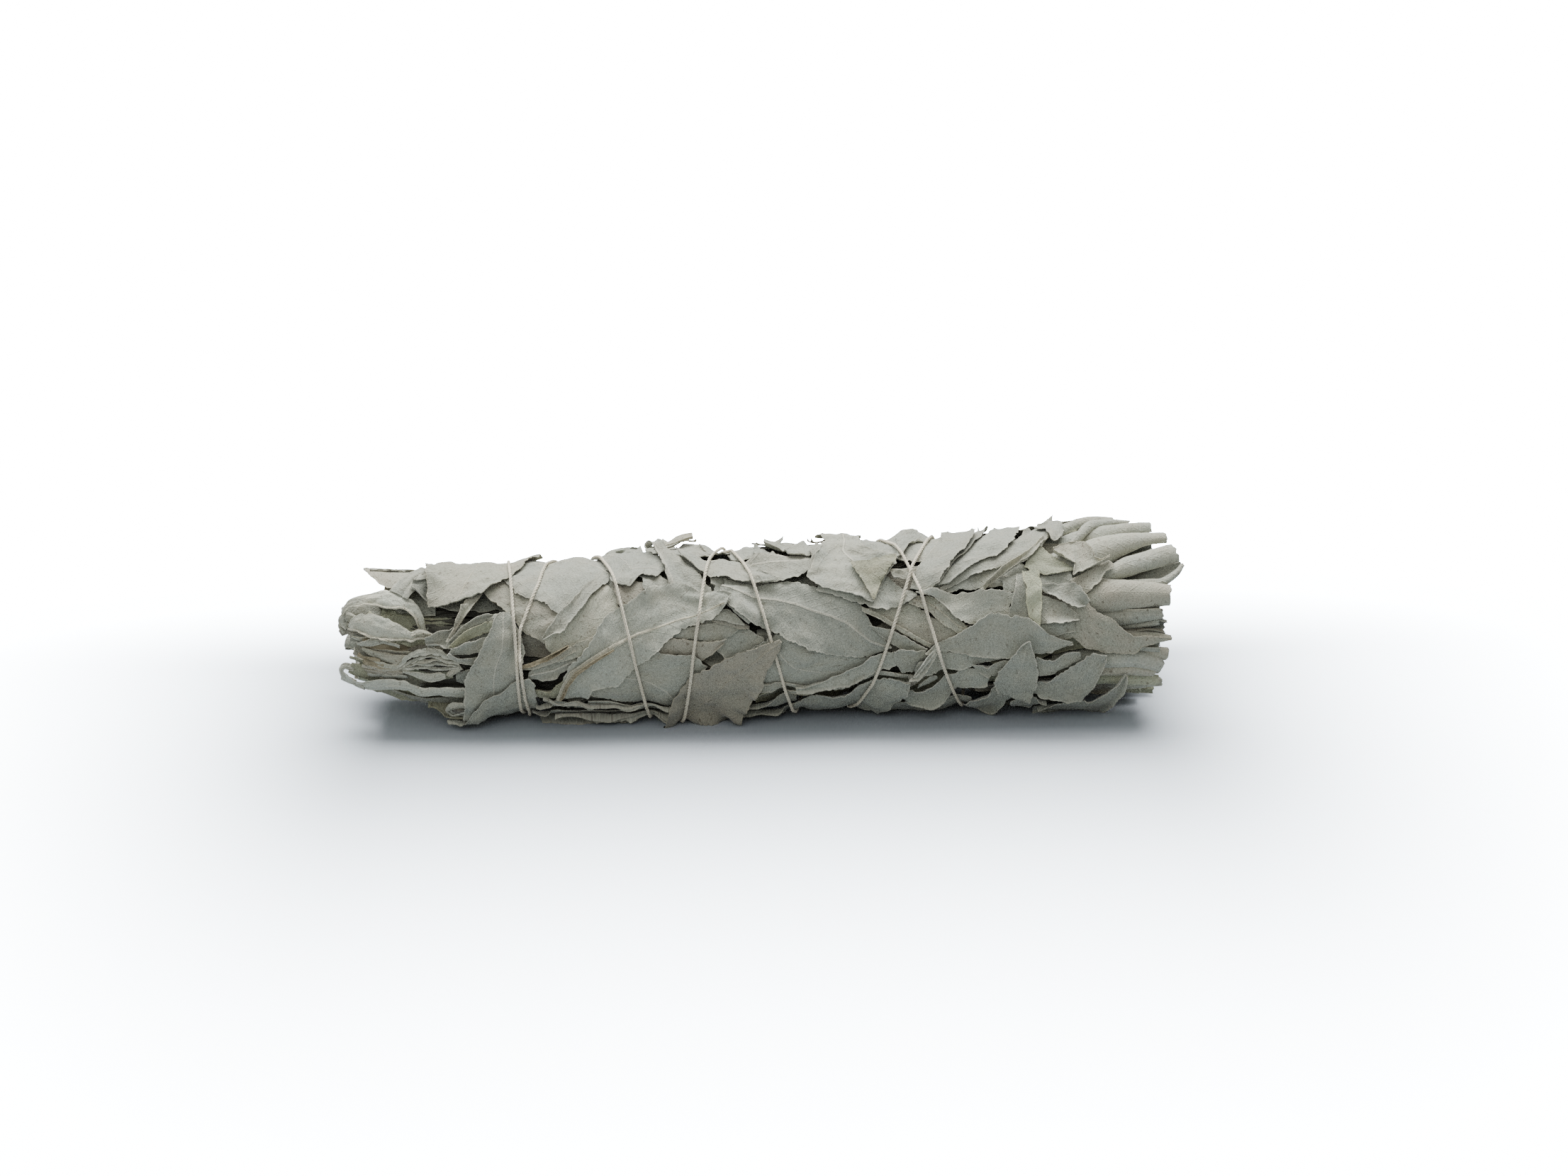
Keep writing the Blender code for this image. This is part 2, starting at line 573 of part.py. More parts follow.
def wedge_core(name, start_angle, rng):
    """A sprig's packed leaves and stems: a bar whose section is a slice of a ring."""
    low = start_angle + SECTOR_MARGIN
    high = start_angle + SECTOR - SECTOR_MARGIN
    outer = np.linspace(low, high, 6)
    inner = np.linspace(high, low, 3)
    start_x = CORE_START_X + rng.uniform(-2, 3)
    end_x = CORE_END_X + rng.uniform(-3, 3)
    stations = [start_x] + [x for x in GIRTH_X if start_x + 4 < x < end_x - 4] + [end_x]
    rings = []
    for x in stations:
        outside = to_point(x, outer, core_radius(x, outer))
        inside = to_point(x, inner, np.full(3, WEDGE_INNER_RADIUS))
        rings.append(np.concatenate([outside, inside]))
    points, faces = ring_solid(rings)
    return make_object(name, points, faces)


def centre_core(name):
    angles = np.arange(0, 360, 36)
    stations = (CORE_START_X + 3, 70, 130, CORE_END_X - 4)
    rings = [to_point(x, angles, np.full(angles.size, CENTRE_RADIUS)) for x in stations]
    points, faces = ring_solid(rings)
    return make_object(name, points, faces)


def fused_leaf(start_angle, index, rng):
    """A leaf pressed into its sprig's core along the rib, its edges standing proud."""
    base_x = FIRST_LEAF_X + LEAF_PITCH * index + rng.uniform(-3, 3)
    middle = start_angle + SECTOR / 2 + (LEAF_SIDESTEP if index % 2 else -LEAF_SIDESTEP)
    lean = rng.uniform(-7, 7)
    length = LEAF_LENGTH + rng.uniform(-5, 4)
    x, angle = leaf_plan(
        (base_x, middle - lean), (base_x + length, middle + lean), LEAF_WIDTH, 0, 0.3, 0.2, 5, 3
    )
    angle = np.clip(angle, *sector_sides(start_angle))
    weights = grid_weights(to_point(x, angle, core_radius(x, angle)), 1.0)
    height = settle(x, angle, weights, -0.15)
    height[:, [0, 2]] += LEAF_EDGE_RISE
    height[0] -= LEAF_BASE_DEPTH
    middle_points = to_point(x, angle, core_radius(x, angle) + height)
    outer, inner = blade_solid(middle_points, BLADE)
    add_cover(weights @ outer.reshape(-1, 3))
    return make_object("leaf", np.concatenate([outer, inner]), blade_faces(*x.shape))


def rolled_tip(root, end, roll, turn, sides=(-360, 720)):
    """A leaf tip rolled into a tapering gutter between two (X, angle, radius) places."""
    rows, columns = 3, 5
    t = np.linspace(0, 1, rows)
    x = root[0] + (end[0] - root[0]) * t
    angle = root[1] + (end[1] - root[1]) * t
    radius = root[2] + (end[2] - root[2]) * (1 - (1 - t) ** 1.7)
    size = roll * np.array([0.85, 1.0, 0.6])
    round_at = np.radians(turn + np.linspace(-0.5, 0.5, columns) * (360 - TIP_OPENING))
    out = size[:, None] * np.cos(round_at)
    aside = size[:, None] * np.sin(round_at)
    middle = to_point(
        np.repeat(x[:, None], columns, 1),
        np.clip(angle[:, None] + np.degrees(aside / radius[:, None]), *sides),
        radius[:, None] + out,
    )
    outer, inner = blade_solid(middle, TIP_BLADE)
    cover_points = grid_weights(outer, 0.8) @ outer.reshape(-1, 3)
    add_cover(cover_points[cover_points[:, 0] > CORE_END_X - 4])
    return make_object("tip", np.concatenate([outer, inner]), blade_faces(rows, columns))


def wedge_tips(start_angle, rng):
    """The rolled tips at the thick end: an outer row of three and an inner row of two."""
    tips = []
    sides = sector_sides(start_angle)
    for at in TIP_ANGLES:
        angle = start_angle + at
        end_x = LENGTH - rng.uniform(0.5, 12)
        room = float(axis_height(end_x) / down(angle)) - TIP_ROLL - BLADE - 0.3
        end_radius = min(girth(end_x) - TIP_ROLL - 1 - rng.uniform(0, 2), room)
        root_radius = core_radius(CORE_END_X, angle) - TIP_ROLL - 1
        turn = rng.choice((0, 150, 180, 210))
        root = (CORE_END_X - 8, angle, float(root_radius))
        tips.append(rolled_tip(root, (end_x, angle, end_radius), TIP_ROLL, turn, sides))
    return tips


def inner_tips(start_angle, rng):
    """Two smaller rolled tips inside the outer row."""
    tips = []
    sides = sector_sides(start_angle)
    for at in INNER_TIP_ANGLES:
        angle = start_angle + at
        root_radius = min(13.2, float(core_radius(CORE_END_X, angle)) - INNER_TIP_ROLL - 1.4)
        root = (CORE_END_X - 8, angle, root_radius)
        end = (LENGTH - rng.uniform(2, 14), angle, 13.8)
        turn = rng.choice((0, 90, 180, 270))
        tips.append(rolled_tip(root, end, INNER_TIP_ROLL, turn, sides))
    return tips


def sector_sides(start_angle):
    """The angles that a sprig's own leaves keep between."""
    return start_angle + SECTOR_MARGIN + 1.4, start_angle + SECTOR - SECTOR_MARGIN - 1.4


def ribbon(places, widths, sides):
    """A leaf end that follows (X, angle, radius) places, as wide as listed at each."""
    places = np.array(places, float)
    line = to_point(*places.T)
    heading = np.gradient(line, axis=0)
    heading /= np.linalg.norm(heading, axis=1)[:, None]
    away = line[0] - np.array([line[0, 0], 0, float(axis_height(line[0, 0]))])
    asides = [np.cross(heading[0], away)]
    for way in heading[1:]:
        asides.append(asides[-1] - np.dot(asides[-1], way) * way)
    asides = np.array(asides) / np.linalg.norm(asides, axis=1)[:, None]
    half = np.array(widths)[:, None, None] / 2 * np.array([-1, 0, 1])[None, :, None]
    x, angle, radius = from_point(line[:, None] + half * asides[:, None])
    behind = sum(sides) / 2 - 180
    middle = to_point(x, np.clip(np.mod(angle - behind, 360) + behind, *sides), radius)
    outer, inner = blade_solid(middle, FOLD_BLADE)
    add_cover(grid_weights(outer, 0.8) @ outer.reshape(-1, 3))
    return make_object("fold", np.concatenate([outer, inner]), blade_faces(len(places), 3))


def wedge_folds(start_angle, rng):
    """Leaf ends at the thin end: two that bend back on themselves and one that points out."""
    middle = start_angle + SECTOR / 2
    edge = float(core_radius(CORE_START_X + 8, middle))
    sides = sector_sides(start_angle)
    folds = []
    for side in (-14, 14):
        at = middle + side
        reach = rng.uniform(0, 5)
        drop = rng.uniform(0, 1)
        loop = (
            (CORE_START_X + 8, at, edge - 1.2), (18, at, edge + 1.4 - drop),
            (9, at, edge + 2.4 - drop), (1.8 + reach, at, edge + 1.2 - drop),
            (0.5 + reach, at, edge - 1), (4.5 + reach, at, edge - 2.6),
        )
        folds.append(ribbon(loop, rng.uniform(6.0, 7.4) * np.linspace(1, 0.7, 6), sides))
    low = max(WEDGE_INNER_RADIUS + 1.6, edge - 5.5)
    end_x = rng.uniform(3, 8)
    aim = middle + rng.uniform(-6, 6)
    point = ((28, aim, low), (16, aim, low), (end_x + 4, aim, low - 0.3), (end_x, aim, low - 0.6))
    folds.append(ribbon(point, (7, 6.4, 4.5, 1.6), sides))
    return folds


def front_tips_and_folds(number, start_angle):
    """The rolled tips and folded leaf ends that the photo shows on one sprig."""
    sides = sector_sides(start_angle)
    pieces = [rolled_tip(*tip, sides) for tip in FRONT_TIPS[number]]
    return pieces + [ribbon(*fold, sides) for fold in FRONT_FOLDS[number]]


def square_stem(x_range, angle, radius, side):
    """A sage stem, square in section, cut off at the thin end."""
    middle = to_point(np.array(x_range), angle, radius)
    turn = np.radians(angle + np.array([0, 90, 180, 270]))
    corners = np.stack([np.zeros(4), -np.cos(turn), np.sin(turn)], -1) * side / math.sqrt(2)
    rings = [point + corners for point in middle]
    add_cover(rings[0] + np.linspace(0, 1, 40)[:, None, None] * (rings[-1] - rings[0]))
    points, faces = ring_solid(rings)
    return make_object("stem", points, faces)


def make_sprigs(material):
    for index in range(SECTORS):
        rng = random.Random(40 + index)
        start_angle = SECTOR_START + SECTOR * index
        core = wedge_core(f"sage_sprig_{index + 1}", start_angle, rng)
        pieces = [fused_leaf(start_angle, row, rng) for row in range(LEAVES_A_SPRIG)]
        if index + 1 in FRONT_TIPS:
            pieces += front_tips_and_folds(index + 1, start_angle)
            pieces += inner_tips(start_angle, rng)
        else:
            pieces += wedge_tips(start_angle, rng)
            pieces += inner_tips(start_angle, rng)
            pieces += wedge_folds(start_angle, rng)
        stem_angle = start_angle + SECTOR / 2 + rng.uniform(-8, 8)
        stem_x = (7 + rng.uniform(0, 6), CORE_START_X + 14)
        stem_radius = float(core_radius(CORE_START_X, stem_angle)) - STEM_SIDE / 2 - 0.6
        stem_radius = max(stem_radius, WEDGE_INNER_RADIUS + STEM_SIDE * 0.8)
        pieces.append(square_stem(stem_x, stem_angle, stem_radius, STEM_SIDE))
        fuse(core, pieces)
        core.data.materials.clear()
        core.data.materials.append(material)
        shade(core)
    rng = random.Random(39)
    core = centre_core("sage_sprig_centre")
    pieces = []
    for quarter in range(4):
        angle = 45 + 90 * quarter
        end = (LENGTH - rng.uniform(3, 14), angle, CENTRE_TIP_RADIUS)
        root = (CORE_END_X - 12, angle, CENTRE_TIP_RADIUS)
        pieces.append(rolled_tip(root, end, CENTRE_TIP_ROLL, rng.choice((0, 180))))
    pieces.append(square_stem((9, CORE_START_X + 16), 20, 2.0, STEM_SIDE))
    fuse(core, pieces)
    core.data.materials.clear()
    core.data.materials.append(material)
    shade(core)


def wrap_leaf(name, x, angle, material):
    """One leaf laid over everything laid before it, on a grid of X and angle."""
    weights = grid_weights(to_point(x, angle, core_radius(x, angle)), 0.9)
    height = settle(x, angle, weights, CLEARANCE + BLADE / 2, least_height(x, angle))
    middle = to_point(x, angle, core_radius(x, angle) + height)
    outer, inner = blade_solid(middle, BLADE)
    add_cover(weights @ outer.reshape(-1, 3))
    leaf = make_object(name, np.concatenate([outer, inner]), blade_faces(*x.shape), material)
    shade(leaf)
    return leaf


def make_front_leaves(materials):
    for name, colour, left, right in FRONT_LEAVES:
        wrap_leaf("leaf_" + name, *plan_between(left, right), materials[colour])


def make_back_leaves(materials):
    rng = random.Random(BACK_SEED)
    number = 0
    for row, row_angle in enumerate(BACK_ROWS):
        for place in range(BACK_ROW_LEAVES):
            number += 1
            base_x = 24 + BACK_PITCH * place + 12 * (row % 2) + rng.uniform(-4, 4)
            lean = rng.choice((-1, 1)) * rng.uniform(8, 16)
            start = (base_x, row_angle - lean)
            end = (min(base_x + BACK_LENGTH, 207), row_angle + lean)
            width = BACK_WIDTH + rng.uniform(-2, 2)
            bend = rng.uniform(-2, 2)
            x, angle = leaf_plan(start, end, width, bend, 0.3, 0.15, 6, 5)
            material = materials[("grey", "tan", "grey")[number % 3]]
            wrap_leaf(f"leaf_back_{number:02d}", x, angle, material)


def make_rest_leaves(material):
    """Short broad leaves underneath. The weight presses their middles flat, to Z = 0."""
    for number, (middle_x, length) in enumerate(REST_LEAVES, 1):
        start = (middle_x - length / 2, -88)
        end = (middle_x + length / 2, -92)
        x, angle = leaf_plan(start, end, REST_WIDTH, 0, 0.5, 0.35, 6, 6)
        weights = grid_weights(to_point(x, angle, core_radius(x, angle)), 0.9)
        rise = CLEARANCE + BLADE / 2
        height = settle(x, angle, weights, rise, least_height(x, angle))
        flat = (axis_height(x) - BLADE / 2) / down(angle) - core_radius(x, angle)
        height[1:-1, 1:-1] = np.maximum(height, flat)[1:-1, 1:-1]
        middle = to_point(x, angle, core_radius(x, angle) + height)
        outer, inner = blade_solid(middle, BLADE)
        outer[1:-1, 1:-1, 2] = 0
        inner[1:-1, 1:-1, 2] = BLADE
        add_cover(weights @ outer.reshape(-1, 3))
        points = np.concatenate([outer, inner])
        shade(make_object(f"leaf_rest_{number}", points, blade_faces(6, 6), material))


def smooth_route(route, count_per_leg):
    """Catmull-Rom points through a route, evenly many on each leg."""
    places = np.array(route, float)
    ends = np.vstack([2 * places[0] - places[1], places, 2 * places[-1] - places[-2]])
    found = []
    for i in range(1, len(ends) - 2):
        before, start, end, after = ends[i - 1 : i + 3]
        for t in np.arange(count_per_leg) / count_per_leg:
            found.append(
                0.5
                * (
                    2 * start
                    + (end - before) * t
                    + (2 * before - 5 * start + 4 * end - after) * t**2
                    + (3 * start - before - 3 * end + after) * t**3
                )
            )
    found.append(ends[-2])
    return np.array(found)


def lay_thread(route, start_radius=None):
    """Corners of a strand that lies taut on whatever the cover holds."""
    parts = 4
    fine = smooth_route(route, POINTS_PER_TURN // 4 * parts)
    corner = fine[::parts]
    share = np.arange(len(fine)) / parts
    low = np.minimum(share.astype(int), len(corner) - 2)
    weights = np.zeros((len(fine), len(corner)))
    weights[np.arange(len(fine)), low] = 1 - (share - low)
    weights[np.arange(len(fine)), low + 1] = share - low
    push = weights / np.sum(weights**2, axis=1)[:, None]
    angle, x = corner[:, 0], corner[:, 1]
    radius = core_radius(x, angle)
    shrink = math.cos(math.radians(360 / POINTS_PER_TURN))
    for turn in range(TIGHTEN_ROUNDS + 10):
        if turn < TIGHTEN_ROUNDS:
            radius[1:-1] = np.minimum(radius[1:-1] - TIGHTEN_STEP, (radius[:-2] + radius[2:]) / 2)
            radius[1:-1] = np.maximum(radius[1:-1], (radius[:-2] + radius[2:]) / 2 * shrink)
        at_x, at_angle, at_radius = from_point(weights @ to_point(x, angle, radius))
        need = core_radius(at_x, at_angle) + highest_near(at_x, at_angle) + THREAD_GAP + THREAD / 2
        lack = np.maximum(need - at_radius, 0)
        radius = radius + (push * lack[:, None]).max(axis=0)
        if start_radius:
            radius[0] = start_radius
    return to_point(x, angle, radius)


def thread_tube(name, points, radius, sides):
    """A round strand along points, closed at both ends."""
    curve = bpy.data.curves.new(name, "CURVE")
    curve.dimensions = "3D"
    curve.bevel_depth = radius * MM
    curve.bevel_resolution = sides
    curve.use_fill_caps = True
    spline = curve.splines.new("POLY")
    spline.points.add(len(points) - 1)
    for place, point in zip(spline.points, points):
        place.co = ((point[0] - MIDDLE_X) * MM, point[1] * MM, point[2] * MM, 1)
    helper = bpy.data.objects.new(name, curve)
    bpy.context.scene.collection.objects.link(helper)
    graph = bpy.context.evaluated_depsgraph_get()
    mesh = bpy.data.meshes.new_from_object(helper.evaluated_get(graph))
    bpy.data.objects.remove(helper)
    work = bmesh.new()
    work.from_mesh(mesh)
    bmesh.ops.remove_doubles(work, verts=work.verts, dist=1e-7)
    work.to_mesh(mesh)
    work.free()
    obj = bpy.data.objects.new(name, mesh)
    bpy.context.scene.collection.objects.link(obj)
    return obj


def make_knot(points):
    """The knot that joins the thread's two ends, as a pressed bead with two cut tails."""
    x, angle, radius = from_point((points[0] + points[-1]) / 2)
    top = float(highest_near(x, angle) + core_radius(x, angle)) + 0.3 + KNOT_HEIGHT
    centre = to_point(x, angle, max(top, float(radius)))
    knot = bmesh.new()
    bmesh.ops.create_uvsphere(knot, u_segments=10, v_segments=6, radius=1)
    turn = np.radians(float(angle))
    out = np.array([0, -np.cos(turn), np.sin(turn)])
    aside = np.array([0, np.sin(turn), np.cos(turn)])
    for vertex in knot.verts:
        place = centre + out * vertex.co.z * KNOT_HEIGHT
        place = place + aside * vertex.co.y * KNOT_WIDTH + np.array([vertex.co.x * KNOT, 0, 0])
        vertex.co = (place - np.array([MIDDLE_X, 0, 0])) * MM
    mesh = bpy.data.meshes.new("knot")
    knot.to_mesh(mesh)
    knot.free()
    bead = bpy.data.objects.new("knot", mesh)
    bpy.context.scene.collection.objects.link(bead)
    pieces = [bead]
    for way, reach in ((-1, TAIL), (1, TAIL * 0.75)):
        tail_x = x + way * np.linspace(0, reach, 4)
        tail_angle = angle + np.linspace(0, 16, 4)
        top = core_radius(tail_x, tail_angle) + highest_near(tail_x, tail_angle) + 0.9
        tail = to_point(tail_x, tail_angle, np.maximum.accumulate(top[::-1])[::-1])
        tail[0] = centre
        pieces.append(thread_tube("tail", tail, THREAD / 2 * 0.9, 1))
    return centre, pieces


def make_thread(material, materials):
    """The thread in its two passes, with the leaf that lies between them."""
    out = lay_thread(ROUTE_OUT)
    for a, b in zip(out[:-4], out[1:-4]):
        strand = a + np.linspace(0, 1, 8)[:, None] * (b - a)
        x, angle, radius = from_point(strand)
        add_cover(to_point(x, angle, radius + THREAD / 2))
    name, colour, left, right = OVER_THREAD_LEAF
    wrap_leaf("leaf_" + name, *plan_between(left, right), materials[colour])
    join = (ROUTE_OUT[-1], *ROUTE_BACK)
    back = lay_thread(join, float(from_point(out[-1])[2]))
    points = np.vstack([out, back[1:]])
    centre, pieces = make_knot(points)
    points = np.vstack([centre, points, centre])
    thread = thread_tube("cotton_thread", points, THREAD / 2, 1)
    fuse(thread, pieces)
    thread.data.materials.clear()
    thread.data.materials.append(material)
    shade(thread)


clear_scene()
grey = make_material("sage_leaf_grey", LEAF_GREY, 0.9)
tan = make_material("sage_leaf_tan", LEAF_TAN, 0.9)
olive = make_material("sage_leaf_olive", LEAF_OLIVE, 0.9)
cotton = make_material("cotton_thread", THREAD_CREAM, 0.85)
make_sprigs(olive)
leaf_materials = {"grey": grey, "tan": tan, "brown": tan, "olive": olive}
make_back_leaves(leaf_materials)
make_front_leaves(leaf_materials)
make_rest_leaves(grey)
make_thread(cotton, leaf_materials)
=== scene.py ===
"""A bound stick of dried white sage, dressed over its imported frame.

Lengths are millimetres until a mesh is made, with X measured from the thin end.
Angles are degrees round the stick: 0 is the front, 90 the top, 180 the back.
"""

import math
import random
from typing import NamedTuple

import bpy
import numpy as np
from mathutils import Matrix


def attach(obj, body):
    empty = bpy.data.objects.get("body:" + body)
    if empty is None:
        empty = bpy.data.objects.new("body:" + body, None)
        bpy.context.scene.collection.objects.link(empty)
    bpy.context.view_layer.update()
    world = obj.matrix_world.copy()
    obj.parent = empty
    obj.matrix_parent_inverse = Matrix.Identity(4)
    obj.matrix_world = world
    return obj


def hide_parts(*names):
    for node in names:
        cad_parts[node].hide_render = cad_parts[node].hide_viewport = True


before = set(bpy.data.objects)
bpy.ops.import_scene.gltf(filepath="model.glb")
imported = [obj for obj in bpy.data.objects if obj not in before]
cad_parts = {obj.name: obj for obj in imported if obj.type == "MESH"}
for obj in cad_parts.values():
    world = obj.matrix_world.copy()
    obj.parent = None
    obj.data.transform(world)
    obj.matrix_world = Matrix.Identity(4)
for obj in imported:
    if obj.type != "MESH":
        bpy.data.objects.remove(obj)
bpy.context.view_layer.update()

# The stick's own line. Seven sprigs lie side by side, their cut stems at the thin end and
# their leaf tips at the thick end, so the stick thickens along its length. It lies on its
# side and its axis rises a little towards the thick end.
STICK_LENGTH = 225.0
MIDDLE_X = STICK_LENGTH / 2
GIRTH_X = (0, 22, 35, 62, 99, 144, 167, 184, 201, 225)
GIRTH_RADIUS = (17.0, 20.5, 21.4, 21.8, 23.2, 23.7, 24.2, 25.2, 26.5, 24.0)
AXIS_START = 18.9
AXIS_RISE = 0.0245
SPRING_X = 25.0
SPRING = 0.28
WRAP_ROOM = 5.2
UNDER_ROOM = 8.2


def axis_height(x):
    """The height of the stick's middle, whose folded leaves at the thin end spring up a little."""
    past = np.maximum(SPRING_X - np.asarray(x, float), 0)
    return AXIS_START + AXIS_RISE * np.asarray(x, float) + SPRING * past**2 / (past + 5)


def girth(x):
    return np.interp(x, GIRTH_X, GIRTH_RADIUS)


def down(angle):
    """How much a direction points down, kept above zero so that it can divide."""
    return np.maximum(-np.sin(np.radians(angle)), 1e-3)


def core_radius(x, angle):
    """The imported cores' outer radius: the girth less the wrapping, flattened underneath."""
    flat = (axis_height(x) - UNDER_ROOM) / down(angle)
    return np.minimum(girth(x) - WRAP_ROOM, flat)


def to_point(x, angle, radius):
    turn = np.radians(angle)
    x, turn, radius = np.broadcast_arrays(np.asarray(x, float), turn, radius)
    return np.stack([x, -radius * np.cos(turn), axis_height(x) + radius * np.sin(turn)], -1)


def from_point(point):
    rise = point[..., 2] - axis_height(point[..., 0])
    angle = np.degrees(np.arctan2(rise, -point[..., 1]))
    return point[..., 0], angle, np.hypot(point[..., 1], rise)


# The thread's pull shapes every leaf under it, so its route comes first: out from the knot
# near the thin end in slanting turns to the thick end, and back over itself, as (angle, X).
ROUTE_OUT = (
    (200, 43), (110, 45), (20, 47), (-70, 49), (-160, 58), (-250, 69), (-340, 77), (-430, 84),
    (-520, 94), (-610, 104), (-700, 114), (-790, 123), (-880, 134), (-970, 146), (-1060, 157),
    (-1150, 168),
)
ROUTE_BACK = (
    (-1240, 168), (-1330, 159.5), (-1420, 147.5), (-1510, 135.4), (-1600, 118), (-1690, 102),
    (-1780, 95), (-1870, 89.6), (-1960, 72), (-2050, 57), (-2095, 53), (-2120, 50),
    (-2140, 48.1), (-2185, 49), (-2230, 50.1), (-2320, 47),
)
MAP_LOW_X = -10.0
MAP_STEP_X = 0.5
MAP_STEP_ANGLE = 1.25
MAP_ROWS = 501
MAP_COLUMNS = int(360 / MAP_STEP_ANGLE)
GROOVE_DEPTH = 1.2
GROOVE_WIDTH = 2.3
GROOVE_CELLS = 12
UNPRESSED_RADIUS = 8.0
TABLE_GAP = 0.03


def smooth_route(places, parts):
    """Catmull-Rom places through the given ones, evenly many on each leg."""
    places = np.array(places, float)
    ends = np.vstack([2 * places[0] - places[1], places, 2 * places[-1] - places[-2]])
    found = []
    for before, start, end, after in zip(ends, ends[1:], ends[2:], ends[3:]):
        t = (np.arange(parts) / parts)[:, None]
        bend = (2 * before - 5 * start + 4 * end - after) * t**2
        swing = (3 * start - before - 3 * end + after) * t**3
        found.append(0.5 * (2 * start + (end - before) * t + bend + swing))
    return np.vstack([*found, places[-1:]])


def map_cell(x, angle):
    row = np.rint((x - MAP_LOW_X) / MAP_STEP_X).astype(int)
    column = np.rint(np.mod(angle, 360) / MAP_STEP_ANGLE).astype(int)
    return np.clip(row, 0, MAP_ROWS - 1), column % MAP_COLUMNS


def read_map(field, x, angle):
    """The map's value between its cells."""
    row = np.clip((np.asarray(x) - MAP_LOW_X) / MAP_STEP_X, 0, MAP_ROWS - 1.001)
    column = np.mod(angle, 360) / MAP_STEP_ANGLE
    i, j = row.astype(int), column.astype(int) % MAP_COLUMNS
    v, u = row - i, column - np.floor(column)
    after = (j + 1) % MAP_COLUMNS
    near = field[i, j] * (1 - u) + field[i, after] * u
    far = field[i + 1, j] * (1 - u) + field[i + 1, after] * u
    return near * (1 - v) + far * v


def groove_map():
    """How much the thread presses at each place, from 0 to 1."""
    field = np.zeros((MAP_ROWS, MAP_COLUMNS))
    steps = slice(-GROOVE_CELLS, GROOVE_CELLS + 1)
    row_steps, column_steps = np.mgrid[steps, steps]
    for route in (ROUTE_OUT, ROUTE_BACK):
        for angle, x in smooth_route(route, 70):
            row, column = map_cell(x, angle)
            across = column_steps * math.radians(MAP_STEP_ANGLE) * girth(x)
            along = row_steps * MAP_STEP_X
            press = np.exp(-(across**2 + along**2) / (2 * GROOVE_WIDTH**2))
            rows = np.clip(row + row_steps, 0, MAP_ROWS - 1)
            columns = (column + column_steps) % MAP_COLUMNS
            np.maximum.at(field, (rows, columns), press)
    return field


groove = groove_map()


def pull_in(points):
    """Draws points towards the axis where the thread presses, and keeps them off the table."""
    x, angle, radius = from_point(points)
    share = np.clip((radius - UNPRESSED_RADIUS) / UNPRESSED_RADIUS, 0, 1)
    points = to_point(x, angle, radius - GROOVE_DEPTH * share * read_map(groove, x, angle))
    points[..., 2] = np.maximum(points[..., 2], TABLE_GAP)
    return points


# Dried sage leaf: a thin brittle blade with a fine felt of short hairs on both sides, which
# makes it matt and pale with a soft bloom at grazing light. A raised pale rib runs along it,
# with fainter side veins and a fine net of veins between them.
MM = 0.001
LEAF_THICKNESS = 0.4
VEIN_PITCH = 3.6
VEIN_NET = 1.2
FELT_GRAIN = 0.5
SPECK = 1.0
MOTTLE = 7.0
TOOTH_PITCH = 1.7
TOOTH_DEPTH = 0.35
PALE_RIM_AND_HIGHLIGHT = 0.45
SPECK_BROWN = "#4d463a"


def linear(hex_colour):
    """An sRGB hex colour as the linear colour that a shader takes."""
    parts = [int(hex_colour[i : i + 2], 16) / 255 for i in (1, 3, 5)]
    return (*[p / 12.92 if p <= 0.04045 else ((p + 0.055) / 1.055) ** 2.4 for p in parts], 1)


def add_node(tree, kind, inputs=None, **settings):
    """Adds a node, sets it up, and links or sets its inputs."""
    node = tree.nodes.new(kind)
    for name, value in settings.items():
        setattr(node, name, value)
    for name, value in (inputs or {}).items():
        if isinstance(value, bpy.types.NodeSocket):
            tree.links.new(value, node.inputs[name])
        else:
            node.inputs[name].default_value = value
    return node


def new_finish(name):
    """A material to be named and made up: itself, its node tree and its shader."""
    material = bpy.data.materials.new(name)
    material.use_nodes = True
    return material, material.node_tree, material.node_tree.nodes["Principled BSDF"]


